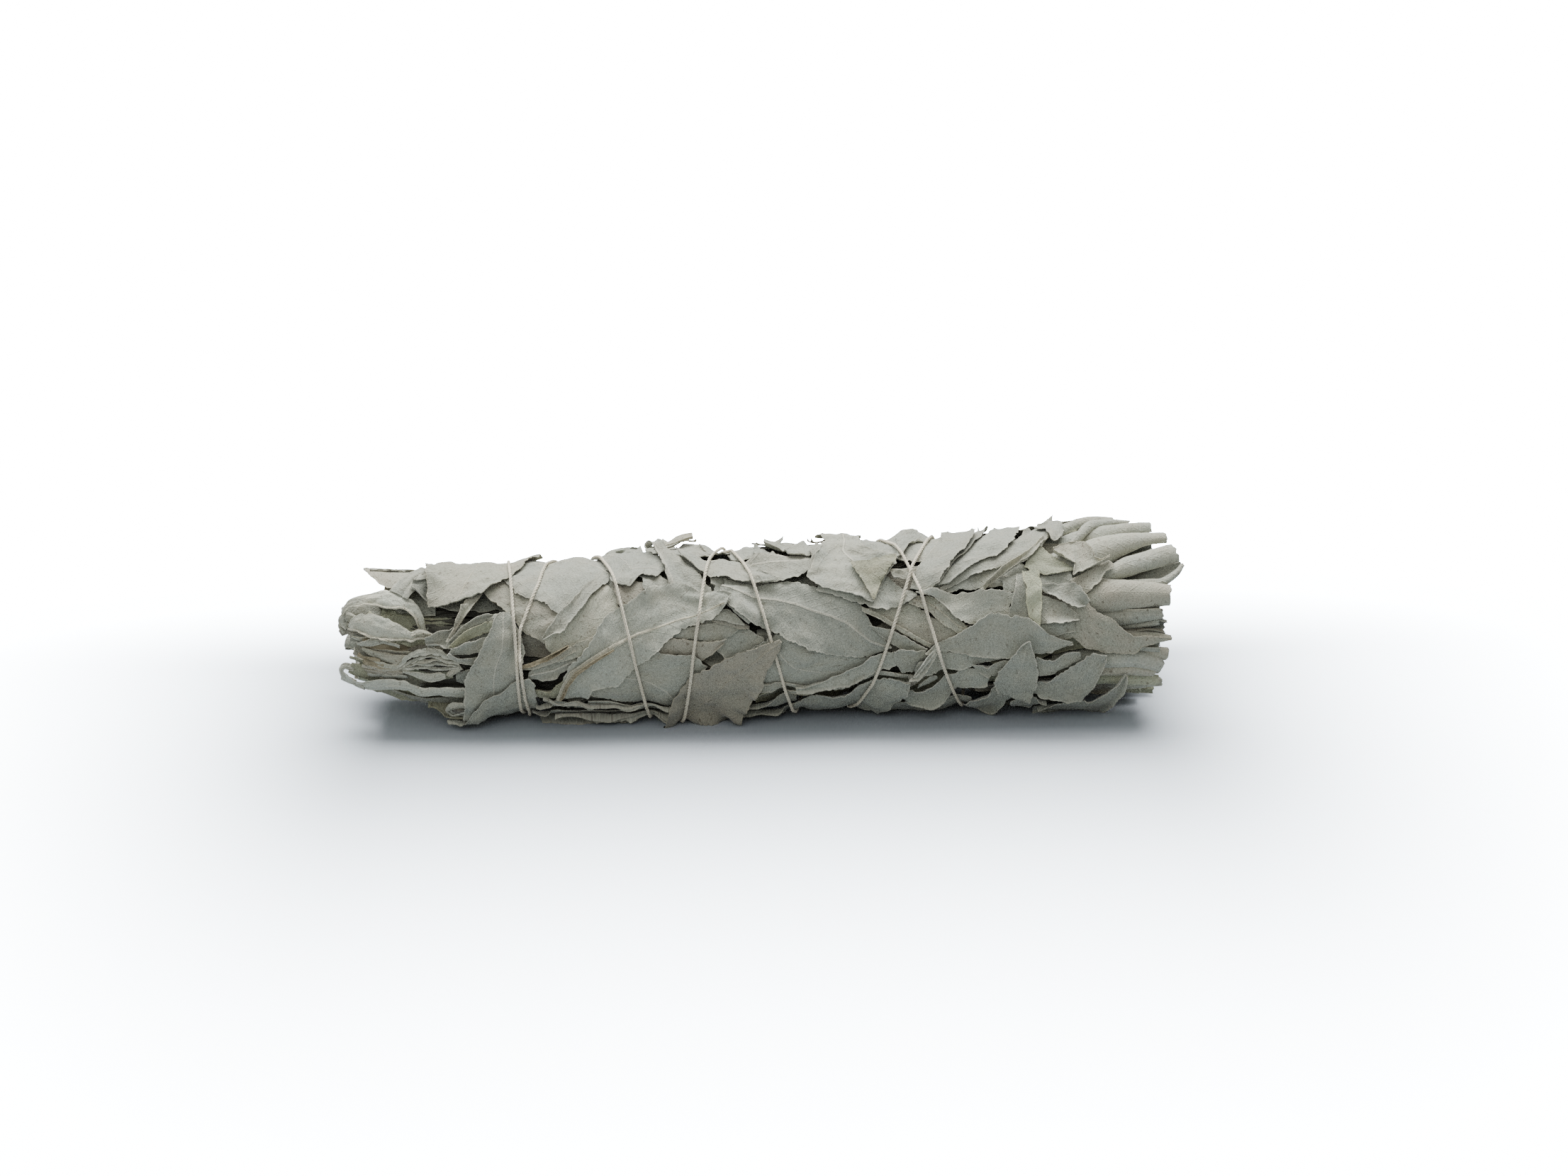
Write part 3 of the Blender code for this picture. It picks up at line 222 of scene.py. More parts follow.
def leaf_finish(name, blade, faded, rib, speck_share):
    """Matt felted leaf in the given colours, with its rib, veins, specks and worn margins,
    which are also drawn paler as a painted highlight.
    """
    material, tree, shader = new_finish(name)
    sums, mix, spread = "ShaderNodeMath", "ShaderNodeMix", "ShaderNodeMapRange"
    noise, smooth, plus = "ShaderNodeTexNoise", "SMOOTHSTEP", "MULTIPLY_ADD"
    place = add_node(tree, "ShaderNodeAttribute", attribute_name="blade").outputs["Vector"]
    own = add_node(tree, "ShaderNodeAttribute", attribute_name="leaf_tone").outputs["Vector"]
    own = add_node(tree, "ShaderNodeSeparateXYZ", {"Vector": own}).outputs
    part = add_node(tree, "ShaderNodeSeparateXYZ", {"Vector": place}).outputs
    across = add_node(tree, sums, {0: part["X"]}, operation="ABSOLUTE").outputs[0]
    side = add_node(tree, sums, {0: part["Z"]}, operation="ABSOLUTE").outputs[0]
    at = {"X": part["X"], "Y": part["Y"], "Z": own["Z"]}
    at = add_node(tree, "ShaderNodeCombineXYZ", at).outputs[0]
    mottle = {"Vector": at, "Scale": 1 / MOTTLE, "Detail": 5.0}
    mottle = add_node(tree, noise, mottle).outputs["Fac"]
    felt = {"Vector": at, "Scale": 1 / FELT_GRAIN, "Detail": 3.0}
    felt = add_node(tree, noise, felt).outputs["Fac"]
    specks = {"Vector": at, "Scale": 1 / SPECK, "Detail": 1.0}
    specks = add_node(tree, noise, specks).outputs["Fac"]
    net = {"Vector": at, "Scale": 1 / VEIN_NET}
    net = add_node(tree, "ShaderNodeTexVoronoi", net, feature="DISTANCE_TO_EDGE")
    slant = add_node(tree, sums, {0: across, 1: -1.3, 2: part["Y"]}, operation=plus).outputs[0]
    wander = add_node(tree, sums, {0: mottle, 1: 2.2, 2: slant}, operation=plus).outputs[0]
    comb = add_node(tree, sums, {0: wander, 1: VEIN_PITCH / 2}, operation="PINGPONG").outputs[0]
    veins = {"Value": comb, "From Min": 0.3, "From Max": 0.05}
    veins = add_node(tree, spread, veins, interpolation_type=smooth).outputs["Result"]
    # A strong rib is 1 mm wide and pale, and a weak one hardly shows.
    strength = add_node(tree, "ShaderNodeAttribute", attribute_name="rib").outputs["Fac"]
    rib_half = add_node(tree, sums, {0: strength, 1: 0.17, 2: 0.2}, operation=plus).outputs[0]
    rib_place = add_node(tree, sums, {0: across, 1: rib_half}, operation="DIVIDE").outputs[0]
    midrib = {"Value": rib_place, "From Min": 1.0, "From Max": 0.5}
    midrib = add_node(tree, spread, midrib, interpolation_type=smooth).outputs["Result"]
    midrib = add_node(tree, sums, {0: midrib, 1: strength}, operation="MULTIPLY").outputs[0]
    lines = {"Value": net.outputs["Distance"], "From Min": 0.12, "From Max": 0.0}
    lines = add_node(tree, spread, lines).outputs["Result"]
    # The margin is rolled and worn paler for the last half millimetre, and drawn paler still as
    # a painted highlight of its edge catching the light.
    side = add_node(tree, sums, {0: side, 1: 0.02}, operation="MAXIMUM").outputs[0]
    inwards = add_node(tree, sums, {0: across, 1: side}, operation="DIVIDE").outputs[0]
    inwards = add_node(tree, sums, {0: inwards, 1: across}, operation="SUBTRACT").outputs[0]
    margin = {"Value": inwards, "From Min": PALE_RIM_AND_HIGHLIGHT, "From Max": 0.1, "To Max": 0.5}
    margin = add_node(tree, spread, margin).outputs["Result"]
    fade = add_node(tree, sums, {0: mottle, 1: 2.2, 2: -0.9}, operation=plus).outputs[0]
    fade = add_node(tree, sums, {0: fade, 1: own["Y"]}, operation="ADD", use_clamp=True).outputs[0]
    # A colour mix takes its share at socket 0 and its two colours at 6 and 7.
    rib_share = add_node(tree, sums, {0: midrib, 1: 0.45}, operation="MULTIPLY").outputs[0]
    rib_share = {0: veins, 1: 0.1, 2: rib_share}
    rib_share = add_node(tree, sums, rib_share, operation=plus, use_clamp=True).outputs[0]
    dots = {"Value": specks, "From Min": 0.66, "From Max": 0.73, "To Max": speck_share}
    dots = add_node(tree, spread, dots).outputs["Result"]
    colour = linear(blade)
    for share, over in ((fade, faded), (rib_share, rib), (margin, rib), (dots, SPECK_BROWN)):
        colour = {0: share, 6: colour, 7: linear(over)}
        colour = add_node(tree, mix, colour, data_type="RGBA").outputs[2]
    # Brightness comes from the felt, the mottle and the sheet's tone. The tone is partly the leaf's
    # own paleness and partly painted light and painted shade.
    light = add_node(tree, sums, {0: felt, 1: 1.0, 2: 0.35}, operation=plus).outputs[0]
    for cause, weight in ((mottle, 0.3), (own["X"], 0.15)):
        light = add_node(tree, sums, {0: cause, 1: weight, 2: light}, operation=plus).outputs[0]
    colour = add_node(tree, "ShaderNodeHueSaturation", {"Color": colour, "Value": light})
    tree.links.new(colour.outputs["Color"], shader.inputs["Base Color"])
    grain = add_node(tree, sums, {0: felt, 1: 0.2}, operation="MULTIPLY").outputs[0]
    for height, rise in ((mottle, 0.5), (lines, -0.03), (veins, 0.07), (midrib, 0.14)):
        grain = {0: height, 1: rise, 2: grain}
        grain = add_node(tree, sums, grain, operation=plus).outputs[0]
    bump = add_node(tree, "ShaderNodeBump", {"Strength": 1.0, "Distance": MM, "Height": grain})
    tree.links.new(bump.outputs["Normal"], shader.inputs["Normal"])
    shader.inputs["Roughness"].default_value = 0.92
    shader.inputs["Specular IOR Level"].default_value = 0.25
    shader.inputs["Sheen Weight"].default_value = 0.25
    shader.inputs["Sheen Roughness"].default_value = 0.5
    return material


grey_felt = leaf_finish("dried_sage_grey_felt", "#8f9286", "#8d8b7b", "#b3b1a0", 0.5)
tan_felt = leaf_finish("dried_sage_tan_felt", "#989989", "#938d7d", "#afaa94", 0.7)
olive_felt = leaf_finish("dried_sage_olive_felt", "#90937e", "#929079", "#a7a587", 0.6)
brown_felt = leaf_finish("dried_sage_browned_felt", "#878577", "#888273", "#97917d", 0.7)
LEAF_FINISHES = {"grey": grey_felt, "tan": tan_felt, "olive": olive_felt, "brown": brown_felt}


class Sheet(NamedTuple):
    """A thin blade: its middle surface, its own measures and how it looks."""

    middle: np.ndarray
    across: np.ndarray
    along: np.ndarray
    side: np.ndarray
    tone: tuple
    finish: str
    rib: float = 0.3
    thickness: float = LEAF_THICKNESS


def sheet_faces(rows, columns):
    """Four-sided faces over both sides of a blade and round its rim."""
    index = np.arange(rows * columns).reshape(rows, columns)
    a, b, c, d = index[:-1, :-1], index[1:, :-1], index[1:, 1:], index[:-1, 1:]
    front = np.stack([a, b, c, d], -1).reshape(-1, 4)
    rim = np.concatenate([index[:, 0], index[-1, 1:], index[-2::-1, -1], index[0, -2:0:-1]])
    after = np.roll(rim, -1)
    count = rows * columns
    return np.vstack(
        [front, front[:, ::-1] + count, np.stack([rim, rim + count, after + count, after], -1)]
    )


def add_object(name, data):
    """Puts a mesh, a lamp or a camera into the scene."""
    thing = bpy.data.objects.new(name, data)
    bpy.context.scene.collection.objects.link(thing)
    return thing


def unit(vector):
    return vector / np.maximum(np.linalg.norm(vector, axis=-1, keepdims=True), 1e-9)


def make_piece(name, sheets, nodes):
    """One object from its sheets. It stands for the CAD nodes named, and rides on the stick."""
    points, faces, blades, tones, ribs, finishes, count = [], [], [], [], [], [], 0
    names = sorted({sheet.finish for sheet in sheets})
    for sheet in sheets:
        normal = np.cross(np.gradient(sheet.middle, axis=0), np.gradient(sheet.middle, axis=1))
        normal = unit(normal)
        half = sheet.thickness / 2 * (1 - 0.6 * np.abs(sheet.side) ** 6)[..., None]
        both = np.concatenate([sheet.middle + normal * half, sheet.middle - normal * half])
        quads = sheet_faces(*sheet.side.shape) + count
        count += both.shape[0] * both.shape[1]
        points.append(both.reshape(-1, 3))
        faces.append(quads)
        blade = np.stack([sheet.across, sheet.along, sheet.side], -1).reshape(-1, 3)
        blades.append(np.concatenate([blade, blade]))
        tones.append(np.tile(sheet.tone, (2 * len(blade), 1)))
        ribs.append(np.full(2 * len(blade), sheet.rib))
        finishes.append(np.full(len(quads), names.index(sheet.finish)))
    points = (pull_in(np.concatenate(points)) - np.array([MIDDLE_X, 0, 0])) * MM
    mesh = bpy.data.meshes.new(name)
    mesh.from_pydata(points.tolist(), [], np.concatenate(faces).tolist())
    for attribute_name, values in (("blade", blades), ("leaf_tone", tones)):
        attribute = mesh.attributes.new(attribute_name, "FLOAT_VECTOR", "POINT")
        attribute.data.foreach_set("vector", np.concatenate(values).astype(np.float32).ravel())
    attribute = mesh.attributes.new("rib", "FLOAT", "POINT")
    attribute.data.foreach_set("value", np.concatenate(ribs).astype(np.float32))
    for finish in names:
        mesh.materials.append(LEAF_FINISHES[finish])
    mesh.polygons.foreach_set("material_index", np.concatenate(finishes).astype(np.int32))
    mesh.shade_smooth()
    mesh.set_sharp_from_angle(angle=math.radians(55))
    piece = add_object(name, mesh)
    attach(piece, "root")
    if nodes:
        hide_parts(*nodes)


# Sprigs: six wedge-shaped ones round a middle one. Each is a bundle of square woody stems with
# leaves pressed flat between them, cut off at the thin end. Only slits of it show between the
# wrapped leaves, so its outside is made as ridges of stems and leaf edges lying along it.
SECTORS = 6
SECTOR = 360 / SECTORS
SECTOR_START = -75.0
SECTOR_MARGIN = 1.6
CORE_START_X = 19.0
CORE_END_X = 190.0
CENTRE_RADIUS = 6.4
SPRIG_SEED = 40
CENTRE_SEED = 39
INNER_LEAVES = 9
INNER_START_X = 22.0
INNER_PITCH = 18.5
STREAK_WIDTH = 0.5
STREAK_LENGTH = 12.5
ROW_PITCH = 0.55
HIDDEN_ROW_PITCH = 1.1
COLUMN_PITCH = 1.7
LEAF_GAP = 0.2
WRAP_DEPTH = 1.2
DRAPE_PASSES = 40
ROLL_ROWS = 30
ROLL_COLUMNS = 17
STRAP_ROWS = 40
HIDDEN_STRAP_ROWS = 18

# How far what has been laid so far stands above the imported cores, place by place.
cover = np.zeros((MAP_ROWS, MAP_COLUMNS))


def stem_finish(name, bark, shadow):
    """Dry stem: fine pale and brown streaks along it, dull."""
    material, tree, shader = new_finish(name)
    place = add_node(tree, "ShaderNodeTexCoord").outputs["Object"]
    across = 1 / (STREAK_WIDTH * MM)
    drawn_out = {"Vector": place, "Scale": (1 / (STREAK_LENGTH * MM), across, across)}
    drawn_out = add_node(tree, "ShaderNodeMapping", drawn_out).outputs[0]
    streaks = {"Vector": drawn_out, "Scale": 1.0, "Detail": 3.0}
    streaks = add_node(tree, "ShaderNodeTexNoise", streaks).outputs["Fac"]
    share = {"Value": streaks, "From Min": 0.35, "From Max": 0.65}
    share = add_node(tree, "ShaderNodeMapRange", share).outputs["Result"]
    colour = {0: share, 6: linear(shadow), 7: linear(bark)}
    colour = add_node(tree, "ShaderNodeMix", colour, data_type="RGBA").outputs[2]
    tree.links.new(colour, shader.inputs["Base Color"])
    bump = {"Strength": 1.0, "Distance": 0.2 * MM, "Height": streaks}
    bump = add_node(tree, "ShaderNodeBump", bump).outputs["Normal"]
    tree.links.new(bump, shader.inputs["Normal"])
    shader.inputs["Roughness"].default_value = 0.85
    return material


LEAF_FINISHES["stem"] = stem_finish("dry_sage_stem", "#9c9279", "#787058")
# The packed inside is drawn near black, as painted shade for the deep slits where it shows between
# the wrapped leaves.
LEAF_FINISHES["packed"] = stem_finish("packed_inner_leaves", "#504f46", "#34332d")


def waves(a, b, wavelength, rng):
    """A smooth random field over two lengths, mostly between -1 and 1."""
    total = 0
    for _ in range(7):
        way = rng.uniform(0, 2 * math.pi)
        pace = 2 * math.pi / (wavelength * rng.uniform(0.7, 1.5))
        total = total + np.sin(pace * (a * math.cos(way) + b * math.sin(way)) + rng.uniform(0, 6.3))
    return total * 0.32


def between(grid, parts):
    """A grid with more rows and columns, worked out between its own."""
    rows, columns = grid.shape[:2]
    i = np.linspace(0, rows - 1, (rows - 1) * parts + 1)
    j = np.linspace(0, columns - 1, (columns - 1) * parts + 1)
    low_i, low_j = np.minimum(i.astype(int), rows - 2), np.minimum(j.astype(int), columns - 2)
    v, u = (i - low_i)[:, None, None], (j - low_j)[None, :, None]
    near = grid[low_i][:, low_j] * (1 - u) + grid[low_i][:, low_j + 1] * u
    far = grid[low_i + 1][:, low_j] * (1 - u) + grid[low_i + 1][:, low_j + 1] * u
    return near * (1 - v) + far * v


def add_cover(points, parts, above=0.0):
    """Records how far a sheet stands above the cores, so that the next one lies on it."""
    x, angle, radius = from_point(between(points, parts))
    np.maximum.at(cover, map_cell(x, angle), radius - core_radius(x, angle) + above)


def plain_sheet(middle, finish, rng, thickness=LEAF_THICKNESS, tone=0.0):
    """A sheet from a grid of points, measured along and across its own surface."""
    steps = np.linalg.norm(np.diff(middle, axis=0), axis=-1).mean(axis=1)
    along = np.concatenate([[0], np.cumsum(steps)])
    widths = np.linalg.norm(np.diff(middle, axis=1), axis=-1).sum(axis=1)
    side = np.broadcast_to(np.linspace(-1, 1, middle.shape[1]), middle.shape[:2])
    across = side * widths[:, None] / 2
    own = (tone + rng.uniform(-0.4, 0.4), rng.uniform(-0.15, 0.25), rng.uniform(0, 900))
    along = np.repeat(along[:, None], middle.shape[1], 1)
    return Sheet(middle, across, along, side, own, finish, thickness=thickness)


def core_bar(start_angle, rng):
    """The ridged outside of a sprig's packed stems and leaves, as one thick skin.

    It is drawn dark, as painted shade for the slits where it shows.
    """
    low, high = start_angle + SECTOR_MARGIN, start_angle + SECTOR - SECTOR_MARGIN
    x = np.linspace(CORE_START_X, CORE_END_X, 60)[:, None]
    angle = np.linspace(low, high, 34)[None, :]
    x, angle = np.broadcast_arrays(x, angle)
    ridges = waves(x / 14, angle / 3.0, 1.0, rng) * 0.7 + waves(x / 5, angle / 8, 1.0, rng) * 0.3
    radius = core_radius(x, angle) - 0.9 + ridges
    return plain_sheet(to_point(x, angle, radius), "packed", rng, 1.2)


def stem(x_range, angle, radius, side, rng):
    """A square stem as a sheet rolled into four sides, its cut end ragged and closed."""
    x = np.concatenate([[x_range[0]], np.linspace(x_range[0] + 0.15, x_range[1], 23)])
    corners = np.radians(np.arange(45, 406, 45))
    size = np.where(np.arange(len(corners)) % 2, 0.78, 1) * side / math.sqrt(2)
    centre = to_point(x, angle + waves(x, 0, 30, rng), radius + 0.4 * waves(x, 0, 26, rng))
    way = math.radians(angle)
    out = np.array([0, -math.cos(way), math.sin(way)])
    aside = np.array([0, math.sin(way), math.cos(way)])
    ring = size[:, None] * (np.cos(corners)[:, None] * out + np.sin(corners)[:, None] * aside)
    closing = np.where(np.arange(len(x)) == 0, 0.04, 1)[:, None, None]
    middle = centre[:, None] + ring[None] * closing
    middle[1, :, 0] += waves(corners * 3, 0, 2, rng) * 0.4
    add_cover(middle, 2)
    return plain_sheet(middle, "stem", rng, 0.5)


def widest(field, reach):
    """The highest value within some cells of each cell."""
    for _ in range(reach):
        spread = np.maximum(np.roll(field, 1, 1), np.roll(field, -1, 1))
        field = np.maximum(field, spread)
        wide = np.pad(field, ((1, 1), (0, 0)), mode="edge")
        field = np.maximum(field, np.maximum(wide[:-2], wide[2:]))
    return field


def leaf_outline(t, base_cut, tip_cut):
    """A sage leaf's half width along it, widest near its middle, with what is torn off its ends."""
    shape = np.sin(math.pi * np.clip(t, 0, 1) ** 0.85) ** 0.7
    shape = np.maximum(shape, base_cut * (1 - t / 0.4))
    shape = np.maximum(shape, tip_cut * (t - 0.6) / 0.4)
    return np.maximum(shape, 0.05)


class Leaf(NamedTuple):
    """A leaf laid on the stick, between its two margins, and how it was pressed and torn.

    Both margins are (X, angle) places from the base to the tip. The curl is how far each
    stands up, and the rib line says where the rib lies between them, from -1 to 1.
    """

    name: str
    left: tuple
    right: tuple
    finish: str = "grey"
    curl: tuple = (0.5, 0.5)
    torn: float = 0.3
    # How much paler or darker the leaf is drawn: partly its own tone, and partly painted light and
    # painted shade.
    tone: float = 0.0
    rib: float = 0.0
    rib_line: tuple = (0.0, 0.0)
    tip_lift: float = 0.3


class Plan(NamedTuple):
    """Where a leaf's grid lies round the stick, and its own measures."""

    x: np.ndarray
    angle: np.ndarray
    across: np.ndarray
    along: np.ndarray
    side: np.ndarray


def margins(base, tip, width, bend=0.0, base_cut=0.3, tip_cut=0.1):
    """Both margins of a leaf of the given width between its base and its tip."""
    per_degree = math.radians(1) * float(girth((base[0] + tip[0]) / 2))
    start = np.array([base[0], base[1] * per_degree])
    step = np.array([tip[0], tip[1] * per_degree]) - start
    aside = np.array([-step[1], step[0]]) / np.hypot(*step)
    t = np.linspace(0, 1, 13)
    rib = start + t[:, None] * step + (4 * bend * t * (1 - t))[:, None] * aside
    half = leaf_outline(t, base_cut, tip_cut)[:, None] * width / 2
    return [(rib + way * half * aside) / (1, per_degree) for way in (-1, 1)]


def places_at(at, run, points):
    """The places at the given distances along a line."""
    return np.stack([np.interp(at, run, part) for part in points.T], -1)


def evenly(line, count):
    """Evenly spaced places along a line given by a few, and its length."""
    run = np.concatenate([[0], np.cumsum(np.hypot(*np.diff(line, axis=0).T))])
    return places_at(np.linspace(0, run[-1], count), run, line), run[-1]


def leaf_plan(leaf, rng, pitch=ROW_PITCH):
    """Spreads a leaf's blade between its margins, which are ragged where it tore. The pitch is
    the distance between its rows of points."""
    left, right = np.array(leaf.left, float), np.array(leaf.right, float)
    # Angles become millimetres round the stick while the blade is laid out flat.
    middle_x = (left[:, 0].mean() + right[:, 0].mean()) / 2
    scale = np.array([1, math.radians(1) * float(girth(middle_x))])
    longer = max(evenly(left * scale, 2)[1], evenly(right * scale, 2)[1])
    rows = int(np.clip(longer / pitch, 12, 120))
    left, left_length = evenly(left * scale, rows)
    right, right_length = evenly(right * scale, rows)
    width = np.linalg.norm(right - left, axis=1)[:, None]
    # An odd number, so that the rib has a column of its own.
    columns = 2 * int(np.clip(width.max() / COLUMN_PITCH, 3, 14)) + 1
    t = np.linspace(0, 1, rows)[:, None]
    side = np.linspace(-1, 1, columns)[None, :]
    t, side = np.broadcast_arrays(t, side)
    along = t * ((left_length + right_length) / 2)
    share = ((1 + side) / 2)[..., None]
    flat = left[:, None] * (1 - share) + right[:, None] * share
    aside = ((right - left) / np.maximum(width, 0.3))[:, None]
    forward = unit(np.gradient((left + right) / 2, axis=0))[:, None]
    # The margins are torn and toothed, less so where the leaf is narrow.
    narrow = np.minimum(width / 6, 1)
    torn = waves(along, side * 40, 6.0, rng) * leaf.torn
    torn = torn + waves(along, side * 9, 2.2, rng) * 0.16
    flat = flat + (torn * side * np.abs(side) * narrow)[..., None] * aside
    teeth = np.abs(waves(along, side * 50, TOOTH_PITCH, rng)) * side * (np.abs(side) > 0.99)
    flat = flat - (TOOTH_DEPTH * teeth * narrow)[..., None] * aside
    # Both ends are worn back unevenly.
    worn = waves(side * width, 0, 5.0, rng) * 0.7 + waves(side * width, 3, 1.8, rng) * 0.35
    worn = worn * (t**8 + (1 - t) ** 8) * np.minimum(width / 8, 1) * (0.3 + leaf.torn)
    flat = (flat + worn[..., None] * forward) / scale
    rib_at = leaf.rib_line[0] + (leaf.rib_line[1] - leaf.rib_line[0]) * t
    return Plan(flat[..., 0], flat[..., 1], (side - rib_at) * width / 2, along, side)


def neighbour_mean(field):
    """The mean of the four cells beside each cell."""
    wide = np.pad(field, 1, mode="edge")
    return (wide[:-2, 1:-1] + wide[2:, 1:-1] + wide[1:-1, :-2] + wide[1:-1, 2:]) / 4


def drape(x, angle, least):
    """Heights over the cores of a sheet drawn tight over everything laid before it."""
    need = read_map(widest(cover, 2), x, angle) + LEAF_GAP + LEAF_THICKNESS / 2
    need = np.maximum(need, least)
    height = need.copy()
    for _ in range(DRAPE_PASSES):
        height = np.maximum(need, 0.25 * height + 0.75 * neighbour_mean(height) - 0.015)
    return height


def crumple(plan, rib, rng):
    """A dried blade's unevenness: puckers between its veins and creases along it."""
    pucker = waves(plan.across, plan.along, 5.0, rng) * 0.14
    crease = waves(plan.across * 3, plan.along / 3, 9.0, rng) * 0.14
    ridge = np.exp(-((plan.across / (0.35 + 0.2 * rib)) ** 2)) * 0.18 * min(rib, 2)
    return pucker + crease + ridge


def lay_leaf(leaf, plan, rng, shown=1.0, least=None):
    """The sheet of one leaf, draped in its place, with its free margins curled up."""
    core = core_radius(plan.x, plan.angle)
    # A wrapped leaf keeps to the stick's outer form, and a leaf of a sprig to its core.
    if least is None:
        flat = (axis_height(plan.x) - WRAP_DEPTH) / down(plan.angle)
        least = np.minimum(girth(plan.x) - WRAP_DEPTH, flat) - core
    height = drape(plan.x, plan.angle, least)
    free = shown * (1 - read_map(groove, plan.x, plan.angle))
    t = plan.along / plan.along.max()
    curl = np.where(plan.side > 0, leaf.curl[1], leaf.curl[0])
    curl = curl * (1 + 0.7 * waves(plan.along, plan.side, 14, rng))
    lift = 1.5 * np.maximum(curl, 0) * np.abs(plan.side) ** 5
    lift = lift + leaf.tip_lift * t**8 + 0.2 * (1 - t) ** 10
    height = height + free * lift + crumple(plan, leaf.rib, rng) * (0.35 + 0.65 * shown)
    middle = to_point(plan.x, plan.angle, core + height)
    add_cover(middle, 3, LEAF_THICKNESS / 2)
    own = (leaf.tone + rng.uniform(-0.35, 0.35), rng.uniform(-0.15, 0.2), rng.uniform(0, 900))
    return Sheet(middle, plan.across, plan.along, plan.side, own, leaf.finish, leaf.rib)


def run_along(points):
    """How far along a line each of its points is."""
    return np.concatenate([[0], np.cumsum(np.linalg.norm(np.diff(points, axis=0), axis=1))])


def path_points(places, count):
    """Evenly spaced points on a smooth line through (X, angle, radius) places."""
    dense = to_point(*smooth_route(places, 16).T)
    run = run_along(dense)
    at = np.linspace(0, run[-1], count)
    return places_at(at, run, dense), at


def outward(points):
    """The direction straight away from the stick's axis."""
    return unit(points - np.stack([points[:, 0], 0 * points[:, 0], axis_height(points[:, 0])], -1))


def square_to(out, heading):
    """Directions turned as little as it takes to be square to a line's heading."""
    return unit(out - np.sum(out * heading, axis=1)[:, None] * heading)


def rolled_leaf(places, widths, wrap, turn, finish, tone, rng):
    """A leaf curled along its length, as wide as listed where its roll is widest. The wrap is
    how far round it goes, and the turn is 0 with its back outwards and 180 with its hollow."""
    centre, run = path_points(places, ROLL_ROWS)
    t = run / run[-1]
    heading = unit(np.gradient(centre, axis=0))
    out = square_to(outward(centre), heading)
    aside = np.cross(heading, out)
    half = math.radians(wrap) / 2
    wide = np.interp(t, np.linspace(0, 1, len(widths)), widths)
    radius = wide / 2 / math.sin(min(half, math.pi / 2))
    bent = np.linspace(-1, 1, ROLL_COLUMNS)[None] * half * np.ones((ROLL_ROWS, 1))
    # A leaf rolled more than half round winds inwards, so that its margins pass each other.
    spiral = radius[:, None] * (1 - 0.09 * np.abs(bent) * (wrap > 200))
    uneven = 0.2 * waves(run[:, None], bent * 4, 9.0, rng)
    uneven = uneven + 0.06 * waves(run[:, None], bent * 4, 2.6, rng)
    spiral = (spiral + np.minimum(wide / 5, 1)[:, None] * uneven)[..., None]
    at = (bent + math.radians(turn))[..., None]
    axis = centre - out * radius[:, None] * (1 if math.cos(math.radians(turn)) > 0 else -0.2)
    middle = axis[:, None] + spiral * (np.cos(at) * out[:, None] + np.sin(at) * aside[:, None])
    ragged = waves(bent * 6, 0, 4.0, rng) * 0.3 + waves(bent * 6, 5, 1.2, rng) * 0.06
    middle = middle + (ragged * t[:, None] ** 10)[..., None] * heading[:, None]
    add_cover(middle, 2)
    return plain_sheet(middle, finish, rng, tone=tone)


def free_leaf(left, right, finish, tone, rng):
    """A leaf end that stands free between its two margins, given as (X, angle, radius) places."""
    left, right = (to_point(*smooth_route(edge, 6).T) for edge in (left, right))
    width = np.linalg.norm(right - left, axis=1)[:, None]
    side = np.linspace(-1, 1, 13)[None]
    share = ((1 + side) / 2)[..., None]
    heading = unit(np.gradient((left + right) / 2, axis=0))
    normal = unit(np.cross(heading, right - left))
    if np.sum(normal * outward(left)) < 0:
        normal = -normal
    run = np.arange(len(left))[:, None] * 0.6
    rise = 0.1 * width * (1 - side**2) + 0.25 * side**2 * waves(run, side * 15, 6.0, rng)
    rise = rise + 0.12 * waves(run, side * width, 3.0, rng)
    middle = left[:, None] * (1 - share) + right[:, None] * share
    middle = middle + rise[..., None] * normal[:, None]
    ragged = 0.2 * np.abs(side) * waves(run, side * 20, 3.0, rng) * np.minimum(width / 3, 1)
    middle = middle + (ragged * side)[..., None] * unit(right - left)[:, None]
    add_cover(middle, 2)
    return plain_sheet(middle, finish, rng, tone=tone)


def untwisted(heading, first):
    """Directions across a line that turn only as the line bends."""
    aside = [unit(np.cross(heading[0], first))]
    for way in heading[1:]:
        aside.append(unit(aside[-1] - np.dot(aside[-1], way) * way))
    return np.array(aside)


def strap(places, widths, twist, finish, tone, rng, shows=True):
    """A leaf or a strip of one that follows a path through the air, as wide as listed along it
    and turned on its edge as listed. Those deep inside are coarser and bear nothing."""
    centre, run = path_points(places, STRAP_ROWS if shows else HIDDEN_STRAP_ROWS)
    t = run / run[-1]
    heading = unit(np.gradient(centre, axis=0))
    aside = untwisted(heading, outward(centre)[0])
    normal = np.cross(aside, heading)
    spin = np.radians(np.interp(t, np.linspace(0, 1, len(twist)), twist))[:, None]
    aside, normal = (
        aside * np.cos(spin) + normal * np.sin(spin),
        normal * np.cos(spin) - aside * np.sin(spin),
    )
    wide = np.interp(t, np.linspace(0, 1, len(widths)), widths)[:, None]
    side = np.linspace(-1, 1, 11)[None]
    reach = side * wide / 2 + 0.3 * np.abs(side) * waves(run[:, None], side * 20, 4.0, rng)
    rise = 0.12 * wide * (1 - side**2) + 0.3 * side**2 * waves(run[:, None], side * 15, 6.0, rng)
    rise = rise + 0.12 * waves(run[:, None], reach, 3.5, rng)
    middle = centre[:, None] + reach[..., None] * aside[:, None] + rise[..., None] * normal[:, None]
    if shows:
        add_cover(middle, 2)
    return plain_sheet(middle, finish, rng, tone=tone)
